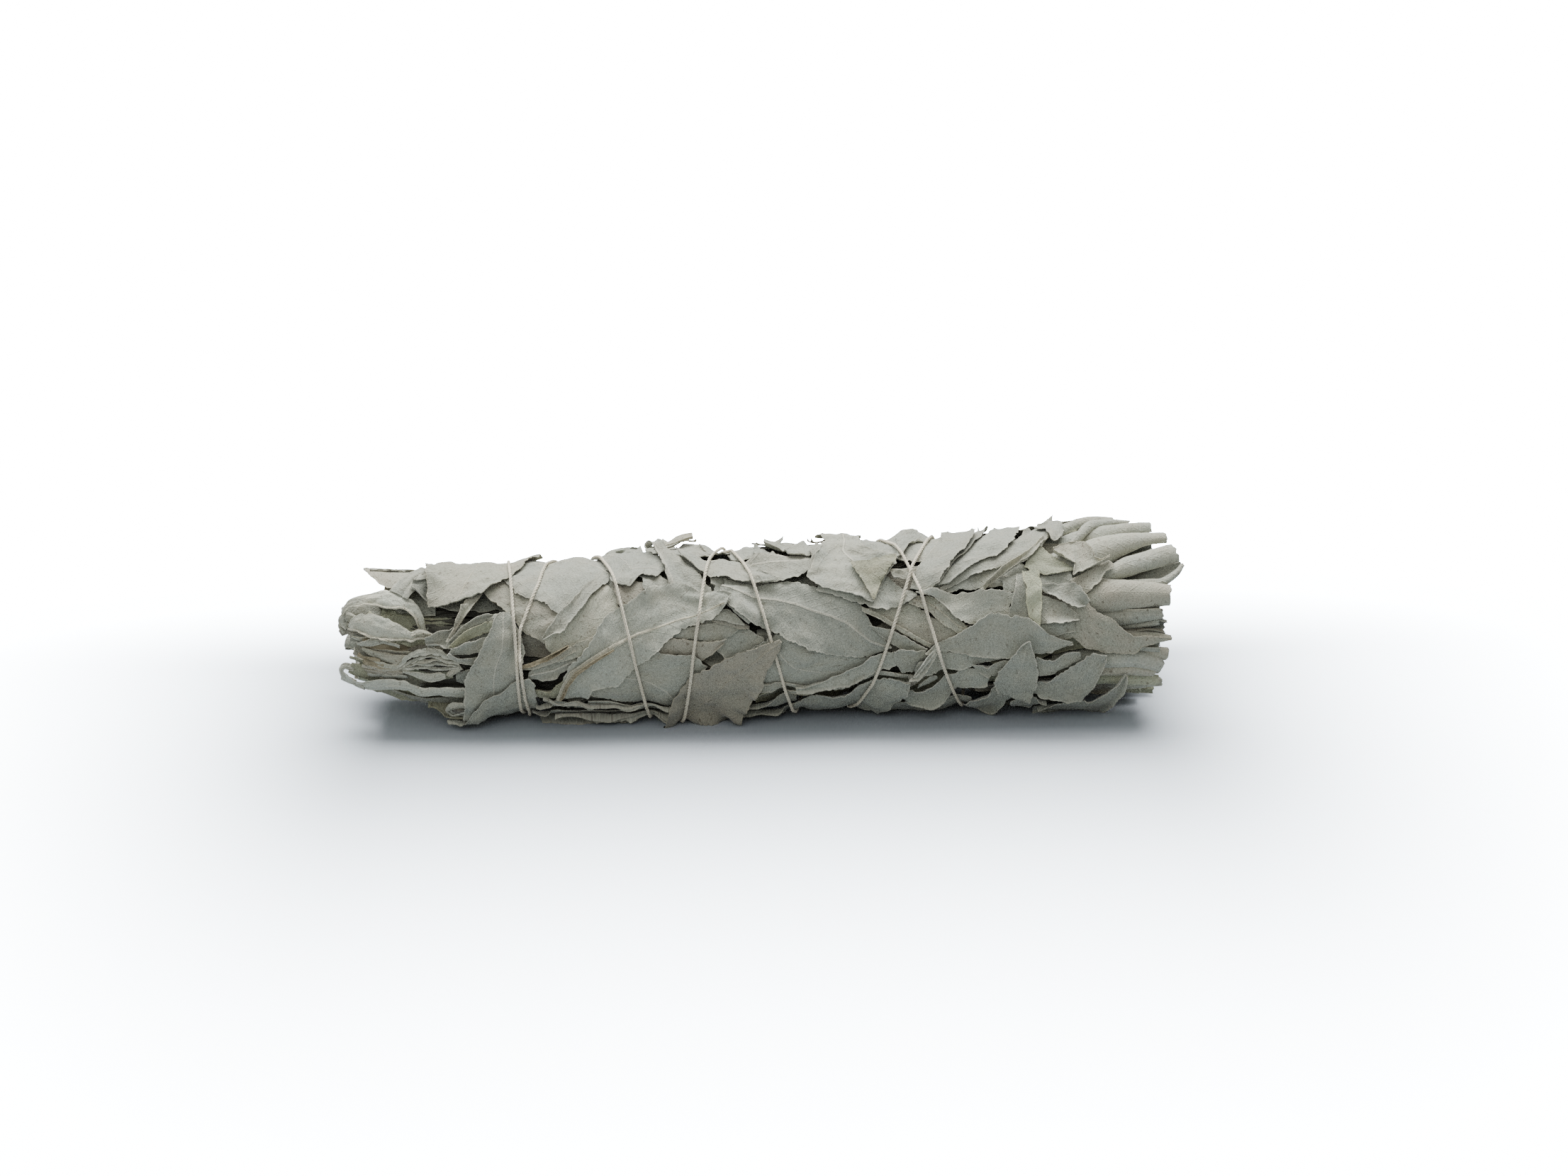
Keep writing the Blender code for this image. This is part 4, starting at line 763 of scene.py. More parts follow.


# At the thin end the leaves were folded in before the thread went on, so their ends bend back
# on themselves in open loops beside the cut stems. Those that the front shows, by sprig: both
# margins of each, its colour, and how much paler or darker it is drawn: the loops paler as
# painted light, and the pieces lying deeper darker as painted shade.
THIN_END = {
    1: (
        (((0.7, -30, 15.4), (4.6, -36, 16.6), (9.5, -25, 17.2), (14.6, -19, 17.6), (18, -19, 17.8),
         (22, -22, 18), (26, -20.5, 18.2), (31, -21.5, 18.4), (36, -22, 18.4)), ((0.1, -55, 14.8),
         (5.1, -48, 16.2), (8.7, -42, 16.9), (14.6, -32, 17.5), (18, -29, 17.7), (21.5, -33, 18),
         (26, -30, 18.2), (31, -33, 18.4), (36, -34, 18.4)), "grey", 3.6),
        (((28.4, -42, 20.4), (31, -35, 21.2), (36, -30, 21.4)), ((28.6, -54, 20), (32, -64, 20.8),
         (37, -72, 21.2)), "grey", 1.4),
        (((9, -50, 14.8), (16, -46, 15.6), (24, -44, 16.6), (33, -42, 17)), ((9, -66, 14),
         (16, -68, 15), (24, -68, 16), (33, -66, 16.4)), "grey", -0.8),
        (((5, -34, 10.5), (14, -34, 11), (28, -34, 11)), ((6, -58, 10), (14, -60, 11),
         (28, -60, 11)), "olive", -0.8),
    ),
    2: (
        (((2.6, 24, 13.4), (4.2, 32, 15.8), (6.2, 36, 17), (8.8, 37.5, 17.6), (11.7, 36.5, 18),
         (14.2, 34.5, 18.2), (16.8, 32, 18.3), (19.3, 28, 18.2), (21.9, 29, 18.2),
         (23.9, 27.5, 17.8), (25.3, 23, 17), (25.6, 17, 15.6)), ((2.6, 20, 13.2), (3.6, 20, 15.2),
         (5.4, 20, 16.4), (8, 18, 17.2), (11, 17.4, 17.6), (14.6, 19, 17.8), (17, 20, 17.8),
         (19.5, 21.5, 17.8), (21.3, 24.3, 17.7), (22.7, 25, 17.4), (23.8, 22.3, 16.8),
         (24.3, 16.5, 15.4)), "grey", 3.8),
        (((4.9, 7, 14.6), (7.4, 12.5, 15.8), (9.9, 15.4, 16.2), (13, 16, 16.6), (16.3, 14.5, 16.8)),
         ((5.2, 4.5, 14.2), (7.4, 6, 15.2), (10.4, 10.4, 15.8), (12.6, 13.4, 16.2),
         (16.3, 12, 16.4)), "grey", 1.0),
        (((6.1, 3.4, 14.8), (10.6, 3.6, 15.8), (14.4, 4.5, 16.4), (18.2, 7, 16.6),
         (19.8, 10, 16.6)), ((6.4, 0, 14.4), (8.6, -3, 15.4), (11.6, -4.4, 16), (14.4, -6.4, 16.4),
         (16, -7.6, 16.6)), "tan", 0.9),
        (((17, -8.6, 17), (21, -6.6, 18), (26, -5.4, 18.4), (28.2, -7, 18.4)), ((17, -10, 17),
         (20, -11.4, 17.8), (24.5, -14, 18.4), (28.2, -11.4, 18)), "grey", 1.6),
        (((28.4, -9, 17.6), (30, -1.5, 18), (32, 1, 18.2)), ((29.6, -11.5, 17.4), (31.4, -7, 17.8),
         (33, -4, 18)), "tan", 0.8),
        (((31, -8, 17), (33.4, -6, 17.2), (36, -6, 17.4)), ((31, -20, 16.4), (33.4, -22, 16.6),
         (36, -22, 17)), "grey", -0.6),
    ),
    3: (
        (((1, 37, 14.4), (3, 47, 16.8), (8, 55, 18.2), (13, 60.5, 18.8), (17.5, 57, 19),
         (20.6, 53, 18.8), (22.4, 45, 17.8), (23.4, 31, 15.2)), ((1.3, 33, 14), (3.2, 40.5, 16.2),
         (8.8, 45.5, 17.8), (13, 44.5, 18.4), (17.5, 46.5, 18.7), (19.2, 45, 18.4),
         (20.7, 39.5, 17.4), (22, 29, 15)), "grey", 4.2),
        (((6.2, 98, 17.2), (10, 98, 18), (16, 97, 19), (23, 97, 20), (30, 96, 20.6)),
         ((6.6, 92, 17.2), (8.7, 78, 17.5), (12, 67, 18.2), (15.5, 65, 18.6), (22, 68, 19.4)),
         "tan", 0.5),
        (((21, 91, 20.8), (18.6, 80, 20.4), (16, 70, 20), (13.6, 60, 19.2)), ((24.4, 88, 21),
         (21.7, 78, 20.6), (19.2, 68, 20.2), (17.8, 56, 19.2)), "grey", 0.5),
    ),
}
# Narrower strips of torn and pleated leaf there: the line of each, its width along it, how
# far it is turned on its edge, its colour, and how much paler or darker it is drawn. Those
# drawn darkest lie deep in the end and are painted shade for its hollows.
THIN_STRIPS = (
    (((22.8, 78, 20.8), (19.7, 65, 20.2), (17.6, 55, 19.4)), (2.4, 2.6, 2.2), (0, 0), "grey", 0.3),
    (((6.4, 95, 17.2), (12, 94, 18.2), (18, 93, 19.3), (27, 93, 20.6)), (0.8, 1.8, 2.2, 2.4),
     (30, 20), "tan", 0.4),
    (((1.3, 33, 14.2), (3.2, 40.2, 16.4), (8.8, 45.2, 18.1), (13, 44.2, 18.7), (17.5, 46.2, 19),
     (19.2, 44.8, 18.7), (20.7, 39.2, 17.7), (22, 29, 15.2)), (0.6, 0.9, 0.9, 0.9, 0.8), (70, 70),
     "tan", 2.2),
    (((2.6, 20, 13.4), (3.6, 19.8, 15.4), (5.4, 19.6, 16.7), (8, 17.8, 17.5), (11, 17, 17.9),
     (14.6, 18.6, 18.1), (17, 19.7, 18.1), (19.5, 21.2, 18.1), (21.5, 24, 18), (23, 24.4, 17.6),
     (24, 21, 17)), (0.6, 0.9, 0.9, 0.9, 0.8), (70, 70), "tan", 2.2),
    (((19.4, 26, 18), (21.4, 28.6, 18.5), (23.8, 28.6, 18.4), (25.7, 25, 17.8), (25.9, 19, 17),
     (24.8, 15.6, 16.2)), (1.0, 1.3, 1.4, 1.3, 1.0), (50, 60), "tan", 1.2),
    (((1.1, 34, 12.6), (4, 38.6, 12.8), (9, 43, 12.9), (14, 45, 12.8)), (4.4, 6, 6.6, 6), (0, 0),
     "grey", -1.6),
    (((9, 60, 13.6), (13, 62, 14.6), (18, 62, 15.2), (26, 60, 15.6)), (4, 7, 8, 8), (0, 0), "grey",
     -1.2),
    (((8.2, 88, 18), (14, 87.5, 19.2), (21, 88, 20.4)), (1.0, 1.6, 1.4), (40, 20), "grey", 0.5),
    (((1.3, 34, 14), (5, 38, 11.6), (11, 41, 10), (20, 42, 9)), (4.4, 5, 7, 7), (0, 0), "grey",
     -1.8),
    (((24, 34, 15), (21, 40, 12), (14, 42, 10.6)), (3, 3.5, 4), (0, 20), "grey", -1.4),
    (((9, 52, 12), (11, 40, 12.4), (12, 30, 12)), (1.6, 2, 1.6), (50, 70), "grey", -0.2),
    (((11, 54, 12), (13.6, 42, 12.6), (14.6, 30, 12)), (1.4, 2.2, 1.6), (60, 70), "grey", -0.6),
    (((5, 31, 13.4), (2.4, 32, 14), (1.2, 27, 14), (2.2, 20, 13.6)), (2, 2.4, 2.4, 1.6), (0, 30),
     "grey", 1.2),
    (((6, 28, 12.6), (1.8, 28, 13), (0.6, 22, 13), (1.4, 14, 12.6)), (1.4, 1.6, 1.6, 1.2), (40, 50),
     "tan", 1.2),
    (((8, 20, 12), (3, 20, 12.4), (0.4, 12, 12.2)), (3, 3, 2), (0, 40), "brown", 0.4),
    (((10, 12, 13.6), (6, 12, 14), (3.4, 12, 13.6)), (2, 2, 1.4), (30, 60), "tan", 0.6),
    (((11, -4.4, 16.6), (8, -4.4, 16.2), (4.9, -5, 15.6)), (0.9, 1.1, 0.4), (20, 40), "stem", 0.9),
    (((12, -7, 16.6), (8, -9, 16.2), (5.2, -2.4, 15.6)), (0.9, 1.1, 0.4), (10, 30), "stem", 0.6),
    (((16, -7.2, 16.8), (11, -7.6, 16.4), (7, -7, 15.8)), (1.2, 1.6, 0.8), (10, 20), "tan", 1.0),
    (((15, -9, 16.4), (10, -12, 16), (6.4, -10, 15.6)), (0.9, 1.2, 0.5), (0, 20), "stem", 0.3),
    (((17, -8, 16.4), (11, -15, 15.8), (6, -17, 15)), (1.4, 1.9, 1.0), (10, 30), "tan", 0.6),
    (((17, -13, 16.4), (11, -19, 15.8), (6.6, -22, 15)), (1.4, 1.9, 0.8), (20, 20), "brown", 0.3),
    (((18, -15, 16.6), (12, -22, 16), (7.4, -25, 15.4)), (1.2, 1.6, 0.8), (30, 0), "grey", 0.4),
    (((18, -12, 13), (12, -14, 12.6), (7, -14, 12)), (6, 8, 5), (0, 0), "brown", -2.0),
    (((15.4, -7.6, 17.2), (18.8, 7, 18.1), (23.2, 13, 18.6), (26.4, 12.4, 18.7), (28.9, 8.4, 18.6),
     (32, 4, 18.6)), (0.5, 1.3, 1.5, 1.2, 0.7), (48, 40), "grey", 1.6),
    (((15.6, -7.8, 17.1), (20.1, 4.4, 17.9), (23.2, 8.6, 18.2), (25.8, 9, 18.3), (28.3, 5, 18.4),
     (32, 3, 18.4)), (0.5, 0.9, 0.9, 0.8, 0.6), (62, 66), "grey", 1.6),
    (((16.3, -7, 17), (20.7, 2.6, 17.6), (23.9, 4.6, 17.9), (26.4, 6.2, 18), (32, 2, 18.3)),
     (0.5, 0.9, 0.9, 0.6), (66, 62), "tan", 1.4),
    (((16.9, -7, 16.9), (20, -0.4, 17.4), (23.2, 1.6, 17.7), (26.4, 2, 17.9), (32, 0, 18.2)),
     (0.5, 0.9, 0.8, 0.6), (64, 70), "grey", 1.6),
    (((17.3, -7.4, 16.9), (20, -3.4, 17.3), (23.2, -1.6, 17.6), (28.3, -3, 17.9), (32, -0.4, 18.2)),
     (0.5, 0.9, 0.8, 0.6), (68, 62), "grey", 1.4),
    (((16.4, -6, 15), (20, 3, 15), (26, 4, 15), (32, 2, 15.4)), (3, 8, 8, 4), (0, 0), "brown",
     -3.4),
    (((27, 10, 17.4), (24.4, 16, 17), (25, 24, 16)), (2, 2.2, 2), (30, 40), "grey", -0.2),
    (((31.5, 23, 18), (27, 16, 17.4), (25.6, 11, 17)), (1.4, 2, 1.2), (20, 20), "tan", 0.3),
    (((33, 29, 18.2), (28, 22, 17.4), (25.4, 14, 16.4)), (1.2, 1.6, 1.2), (20, 20), "tan", 0.5),
    (((6.4, -42, 16.8), (3.9, -43, 16.2), (1.7, -40, 15.6), (0.5, -31, 15.2), (1.4, -26, 14.6),
     (3.6, -27, 14.2)), (3.4, 2.8, 2.4, 2, 1.2), (0, 20), "grey", 1.4),
    (((0.8, -47, 14.6), (2.2, -55, 14), (4, -53, 14.4)), (1, 1.6, 0.8), (0, 30), "tan", 0.6),
    (((28.2, -42, 20.8), (29.4, -32, 21.4), (32.4, -30.5, 21.8), (34.2, -35, 22), (32.4, -41, 21.8),
     (29.6, -46, 21.4), (28.3, -43, 20.9)), (1.0, 1.2, 1.2, 1.2, 1.0), (40, 40), "grey", 1.6),
    (((29.8, -40, 21.2), (31.4, -37, 21.8), (33, -36, 22)), (0.8, 2.0, 0.8), (0, 0), "brown", -4.2),
    (((7, -50, 15.6), (8, -58, 15), (9.6, -62, 15)), (0.9, 1.2, 0.7), (0, 30), "brown", 0.1),
)
# The two upper sprigs end shorter there, and ragged leaves of the middle one show.
SHORTER_ENDS = {3: 11.0, 4: 11.0}
RAGGED_END = (
    (((14, 38, 9), (6, 42, 10), (2.5, 42, 11)), (5, 6, 4), (0, 20), "grey", -0.6),
    (((14, 14, 9), (7, 15, 10), (3, 12, 10)), (5, 6, 4), (0, 10), "grey", -0.8),
    (((16, -6, 11), (9, -8, 11), (4, -8, 11)), (4, 5, 3), (0, -20), "tan", -0.3),
)


def seeded_folds(start_angle, shorter, rng):
    """Looped and pointed leaf ends of a sprig that the front doesn't show."""
    middle = start_angle + SECTOR / 2
    edge = float(core_radius(CORE_START_X + 8, middle))
    sheets = []
    for side in (-17, 0, 17):
        angle = middle + side + rng.uniform(-3, 3)
        reach, drop = rng.uniform(0, 5) + shorter, rng.uniform(0, 1.5)
        loop = (
            (CORE_START_X + 8, angle, edge - 1.2), (18, angle, edge + 1.4 - drop),
            (9 + shorter / 2, angle, edge + 2.4 - drop), (1.8 + reach, angle, edge + 1.2 - drop),
            (0.5 + reach, angle, edge - 1), (4.5 + reach, angle, edge - 2.6),
        )
        widths = (5.5, 6.5, 6.5, 5.5, 4.5)
        sheets.append(strap(loop, widths, (0, 0), "grey", rng.uniform(0, 0.6), rng))
    return sheets


def inner_ends(start_angle, shorter, rng):
    """Folded leaf ends and cut stems that fill a sprig's thin end."""
    sheets = []
    for layer, radius in enumerate((8.5, 11.5, 14.0)):
        for place in range(2 + layer):
            angle = start_angle + SECTOR * (place + 0.5) / (2 + layer) + rng.uniform(-4, 4)
            end = rng.uniform(2, 13) * (1 - shorter / 13) + shorter
            bend = (end + 8, angle + rng.uniform(-3, 3), radius + rng.uniform(-0.8, 0.8))
            tip = (end, angle + rng.uniform(-6, 6), radius + rng.uniform(-1, 0.6))
            places = ((30, angle, radius), bend, tip)
            finish = rng.choice(("grey", "tan", "olive"))
            widths = (5, 6, rng.uniform(2, 6))
            twist = (rng.uniform(-60, 60), rng.uniform(-60, 60))
            sheets.append(strap(places, widths, twist, finish, -0.3, rng, shows=False))
    for _ in range(2):
        angle = start_angle + rng.uniform(12, SECTOR - 12)
        cut_x = rng.uniform(5, 14) + shorter / 2
        radius, side = rng.uniform(9, 14), rng.uniform(2, 3)
        sheets.append(stem((cut_x, 34), angle, radius, side, rng))
    return sheets


# At the thick end every sprig's leaf tips are free. Drying rolled each along its rib, so they
# stand out as tubes and gutters. Those that the front shows, by sprig: the line of the roll as
# (X, angle, radius) places, its widths, how far round it wraps, its turn, its colour, and how
# much paler or darker it is drawn. Rolls turned with the hollow outwards are drawn darker, as
# painted shade inside the roll.
THICK_END = {
    1: (
        (((188, -17, 20), (203, -12, 23.4), (210, -11.5, 24), (215, -14, 23.6), (219, -21, 23)),
         (5, 6, 6, 5, 4), 185, 0, "grey", 1.2),
        (((190, -27, 20), (204, -21, 23.2), (212, -20.5, 23.8), (217.6, -25, 23)),
         (4, 3.6, 3.4, 2.4), 200, 0, "tan", 0.8),
        (((192, -37, 20), (207, -31, 23), (214, -33, 23.2), (218.8, -38, 22.4)), (5, 4.8, 4.4, 3.6),
         190, 0, "olive", 1.6),
        (((196, -48, 19.4), (211, -42, 21.8), (220.4, -46, 21.2)), (4.4, 4, 3), 200, 0, "grey",
         1.4),
        (((194, -53, 19), (208, -51, 21), (216.6, -53, 20.8)), (2.6, 2.8, 2.2), 210, 0, "tan", 1.0),
        (((192, -60, 18.2), (208, -58, 20), (218, -61, 19.4)), (5, 4.4, 3.4), 190, 0, "grey", 0.9),
        (((196, -28, 17), (208, -28, 19.6), (215, -29, 20.4), (219.6, -31, 20.2)),
         (4, 4.4, 4.2, 3.6), 290, 60, "tan", 0.4),
        (((190, -46, 14), (206, -46, 16.5), (217, -50, 17)), (5, 5, 4.4), 240, 190, "grey", -0.5),
        (((194, -38, 15), (208, -37, 18), (218.2, -38, 18.8)), (4, 4, 3.6), 280, 160, "brown",
         -0.4),
    ),
    2: (
        (((186, 33, 20.6), (197, 34, 24), (206, 34.5, 25.4), (214, 34, 25), (221.6, 33, 24)),
         (7, 9.6, 9.6, 7.4, 5.6), 185, 0, "tan", 0.3),
        (((190, 18, 19), (203, 18.5, 22.2), (212, 19.4, 23), (219.4, 20, 22.4)), (4, 5.2, 4.8, 2.8),
         215, 0, "grey", 0.9),
        (((204, 25.6, 19), (211, 24.8, 21.4), (218.6, 24.6, 21.8)), (2.6, 3, 3.2), 270, 150, "tan",
         0.4),
        (((196, 12, 16), (208, 12.5, 18.6), (216, 12.5, 19.8), (220.2, 10, 19.8)), (4, 4.6, 4.8, 4),
         250, 180, "grey", -1.2),
        (((203, 12, 18.6), (212, 12.6, 20.6), (218.4, 14.6, 21)), (1.8, 2.2, 2), 260, 20, "grey",
         0.5),
        (((204, 7, 18), (212, 7, 20), (219.6, 6.4, 20.6)), (2, 2.6, 2.6), 280, 90, "brown", -0.3),
        (((200, 1.5, 19.6), (211, 3, 22), (217, 3.4, 22.2), (221.6, 2.2, 21.8)), (4, 4.2, 3.4, 1.2),
         235, 0, "tan", 0.6),
        (((198, -9, 19.4), (209, -8.5, 21.6), (216, -10, 21.8), (221, -13.5, 21.2)),
         (3.4, 3.6, 3.8, 4), 300, 20, "tan", 0.7),
        (((202, -3, 18), (211, -3.4, 20.4), (218.6, -4.6, 20.8)), (2.6, 3, 2.8), 270, 120, "grey",
         0.0),
        (((190, 0, 14), (207, 1, 16.4), (217, 2, 17)), (4, 4.6, 4), 230, 160, "brown", -1.2),
        (((190, 14, 13), (207, 15, 15.4), (216, 15, 16)), (4, 4.4, 4), 230, 180, "grey", -1.4),
    ),
    3: (
        (((188, 88, 21.5), (200, 88, 24.5), (210, 90, 25.8), (218.6, 92, 25.6)), (6, 7, 5.4, 4),
         170, 0, "grey", 0.9),
        (((184, 96, 21.6), (193, 99, 24.8), (199, 100.5, 26.6), (204, 101.5, 27.2),
         (209, 102, 26.6)), (4, 4.6, 4.2, 3.4, 2.2), 185, 0, "grey", 1.2),
        (((190, 42, 17), (203, 44, 20), (212, 47, 21.2), (220, 50.5, 22), (225, 55, 22.6)),
         (6, 7.6, 7.6, 5.4, 1.6), 175, 180, "grey", -1.6),
        (((206, 44.5, 21), (211, 43.2, 22.4), (216, 42.4, 22.8), (219.6, 42.6, 22.8),
         (223.4, 48.4, 23), (225.4, 55, 22.8)), (1.2, 1.6, 1.8, 2, 1.8, 1), 190, 0, "grey", 1.2),
        (((190, 48, 20.4), (203, 50, 23), (210, 55, 24.2), (217, 60, 24.8), (223.6, 66, 24.4)),
         (4, 4.4, 4.8, 5.4, 5.8), 180, 0, "grey", 2.2),
        (((186, 62, 21.4), (197, 64, 24.8), (205, 70.5, 26.2), (213, 75.5, 26), (219, 80, 24.8),
         (222, 82, 24.2)), (6.4, 9.6, 10.4, 7.4, 4.4, 3.4), 195, 0, "grey", 2.8),
        (((194, 70, 23), (198.5, 80, 25.8), (202, 91, 26.8), (207, 97, 26.6), (213, 96, 26)),
         (1.2, 2.4, 3, 2.6, 1.2), 200, 0, "grey", 1.0),
        (((190, 72, 15), (208, 74, 18.6), (219, 78, 20)), (5, 5, 4), 240, 170, "grey", -0.7),
        (((190, 90, 16), (206, 90, 20), (216, 92, 21.6)), (5, 5, 4), 240, 190, "grey", -0.5),
    ),
}


def seeded_tips(start_angle, rng):
    """Rolled leaf tips of a sprig that the front doesn't show."""
    entries = []
    for at in (10, 23, 37, 50):
        angle = start_angle + at
        end_x = STICK_LENGTH - rng.uniform(0.5, 12)
        room = float(axis_height(end_x) / down(angle)) - 0.8
        end = min(float(girth(end_x)) - 1 - rng.uniform(0, 2), room)
        root = float(core_radius(CORE_END_X, angle)) - 1
        tip = (end_x, angle + rng.uniform(-3, 3), end)
        places = ((184, angle, root), (198, angle, (root + end) / 2 + 1), tip)
        finish = rng.choice(("grey", "grey", "tan", "olive"))
        turn = rng.choice((0, 0, 20, 160, 180))
        widths = (5, rng.uniform(5.5, 7.5), rng.uniform(2, 5))
        wrap, tone = rng.uniform(170, 260), rng.uniform(0, 0.6)
        entries.append((places, widths, wrap, turn, finish, tone))
    return [rolled_leaf(*entry, rng) for entry in entries]


def inner_tips(start_angle, rng):
    """Smaller rolled tips that fill a sprig's thick end."""
    entries = []
    for radius, count in ((8.5, 2), (12.0, 2), (15.5, 3)):
        for place in range(count):
            angle = start_angle + SECTOR * (place + 0.5) / count + rng.uniform(-4, 4)
            end_x = STICK_LENGTH - rng.uniform(3, 17)
            tip = (end_x, angle + rng.uniform(-5, 5), radius + rng.uniform(0, 1.5))
            places = ((184, angle, radius), (202, angle, radius + 0.8), tip)
            turn = rng.choice((0, 90, 180, 270))
            finish = rng.choice(("grey", "brown", "olive"))
            widths, wrap = (4, 4.4, rng.uniform(2.5, 4.4)), rng.uniform(190, 280)
            # Drawn darker than the outer leaves, as painted shade for the hollow that they fill.
            entries.append((places, widths, wrap, turn, finish, -1.7))
    return [rolled_leaf(*entry, rng) for entry in entries]


def inner_leaves(start_angle, rng):
    """Leaves pressed on a sprig's outside, seen in the slits between the wrapped ones."""
    sheets = []
    for index in range(INNER_LEAVES):
        base_x = INNER_START_X + INNER_PITCH * index + rng.uniform(-4, 4)
        middle = start_angle + SECTOR / 2 + rng.choice((-13, -5, 5, 13))
        lean = rng.uniform(-9, 9)
        base, tip = (base_x, middle - lean), (base_x + rng.uniform(34, 50), middle + lean)
        edges = margins(base, tip, rng.uniform(8, 12))
        finish = rng.choice(("grey", "olive", "brown"))
        # Drawn darker than the wrapped leaves, as painted shade for the slits where they show.
        leaf = Leaf("", *edges, finish, torn=0.5, tone=-1.2, rib=0.5)
        sheets.append(lay_leaf(leaf, leaf_plan(leaf, rng, HIDDEN_ROW_PITCH), rng, least=0.0))
    return sheets


def make_sprigs():
    """The six outer sprigs, each with its leaves, tips, folded ends and stems as one piece."""
    for index in range(SECTORS):
        rng = random.Random(SPRIG_SEED + index)
        start_angle = SECTOR_START + SECTOR * index
        number = index + 1
        shorter = SHORTER_ENDS.get(number, 0.0)
        sheets = [core_bar(start_angle, rng)]
        sheets += inner_leaves(start_angle, rng)
        sheets += inner_tips(start_angle, rng)
        sheets += inner_ends(start_angle, shorter, rng)
        if number in THICK_END:
            sheets += [rolled_leaf(*entry, rng) for entry in THICK_END[number]]
            sheets += [free_leaf(*entry, rng) for entry in THIN_END[number]]
        else:
            sheets += seeded_tips(start_angle, rng)
            sheets += seeded_folds(start_angle, shorter, rng)
        name, nodes = f"sprig_{number}_leaves_and_stems", (f"sage_sprig_{number}",)
        make_piece(name, sheets, nodes)


def make_centre_sprig():
    """The middle sprig. It also carries the torn strips of leaf between the thin end's loops."""
    rng = random.Random(CENTRE_SEED)
    angle = np.linspace(0, 360, 31)[None, :]
    x = np.linspace(CORE_START_X + 3, CORE_END_X - 4, 30)[:, None]
    x, angle = np.broadcast_arrays(x, angle)
    radius = CENTRE_RADIUS - 1 + 0.3 * waves(x, angle / 3, 9, rng)
    sheets = [plain_sheet(to_point(x, angle, radius), "packed", rng, 1.0)]
    entries = []
    for place in range(7):
        angle = 360 / 7 * place
        radius = 4.4 if place % 2 else 3.0
        end_x = STICK_LENGTH - rng.uniform(4, 16)
        tip = (end_x, angle + rng.uniform(-20, 20), radius + 1)
        places = ((182, angle, radius), (200, angle, radius), tip)
        wrap, turn = rng.uniform(200, 280), rng.uniform(0, 360)
        entries.append((places, (3.4, 3.6, 3), wrap, turn, "brown", -0.8))
    sheets += [rolled_leaf(*entry, rng) for entry in entries]
    for place in range(3):
        sheets.append(stem((rng.uniform(6, 14), 36), 120 * place + 20, 3.2, 2.6, rng))
    sheets += [strap(*entry, rng) for entry in RAGGED_END + THIN_STRIPS]
    for place in range(9):
        angle = 40 * place + rng.uniform(-8, 8)
        radius = rng.uniform(2.5, 6.5)
        end_x = rng.uniform(5, 12)
        tip = (end_x, angle + rng.uniform(-12, 12), radius + 1)
        places = ((32, angle, radius), (end_x + 9, angle, radius), tip)
        twist = (rng.uniform(-60, 60), rng.uniform(-60, 60))
        finish = rng.choice(("grey", "tan"))
        sheets.append(strap(places, (5, 6, 4), twist, finish, -0.4, rng, shows=False))
    nodes = ("sage_sprig_centre",)
    make_piece("middle_sprig_leaves_and_stems", sheets, nodes)


make_centre_sprig()
make_sprigs()

# Wrapped leaves of the back: single large leaves laid like tiles over the sprigs, in rows.
# They have the same felt as the front ones and were pressed by the hand that rolled the stick.
BACK_ROWS = (130, 166, 202, 238)
BACK_ROW_LEAVES = 3
BACK_START_X = 24.0
BACK_END_X = 207.0
BACK_SHIFT = 12.0
BACK_PITCH = 56.0
BACK_LENGTH = 68.0
BACK_WIDTH = 19.0
BACK_SEED = 11


def back_leaves():
    """The back's leaves, by the rule and the draws of the frame's own, with curled margins."""
    rng = random.Random(BACK_SEED)
    leaves = []
    for row, row_angle in enumerate(BACK_ROWS):
        for place in range(BACK_ROW_LEAVES):
            number = len(leaves) + 1
            base_x = BACK_START_X + BACK_PITCH * place + BACK_SHIFT * (row % 2)
            base_x += rng.uniform(-4, 4)
            lean = rng.choice((-1, 1)) * rng.uniform(8, 16)
            base = (base_x, row_angle - lean)
            tip = (min(base_x + BACK_LENGTH, BACK_END_X), row_angle + lean)
            width = BACK_WIDTH + rng.uniform(-2, 2)
            finish = ("grey", "tan", "grey")[number % 3]
            bend = rng.uniform(-2, 2)
            edges = margins(base, tip, width, bend, 0.3, 0.15)
            leaves.append(Leaf(f"leaf_back_{number:02d}", *edges, finish, (0.8, 0.8), rib=1.0))
    return leaves


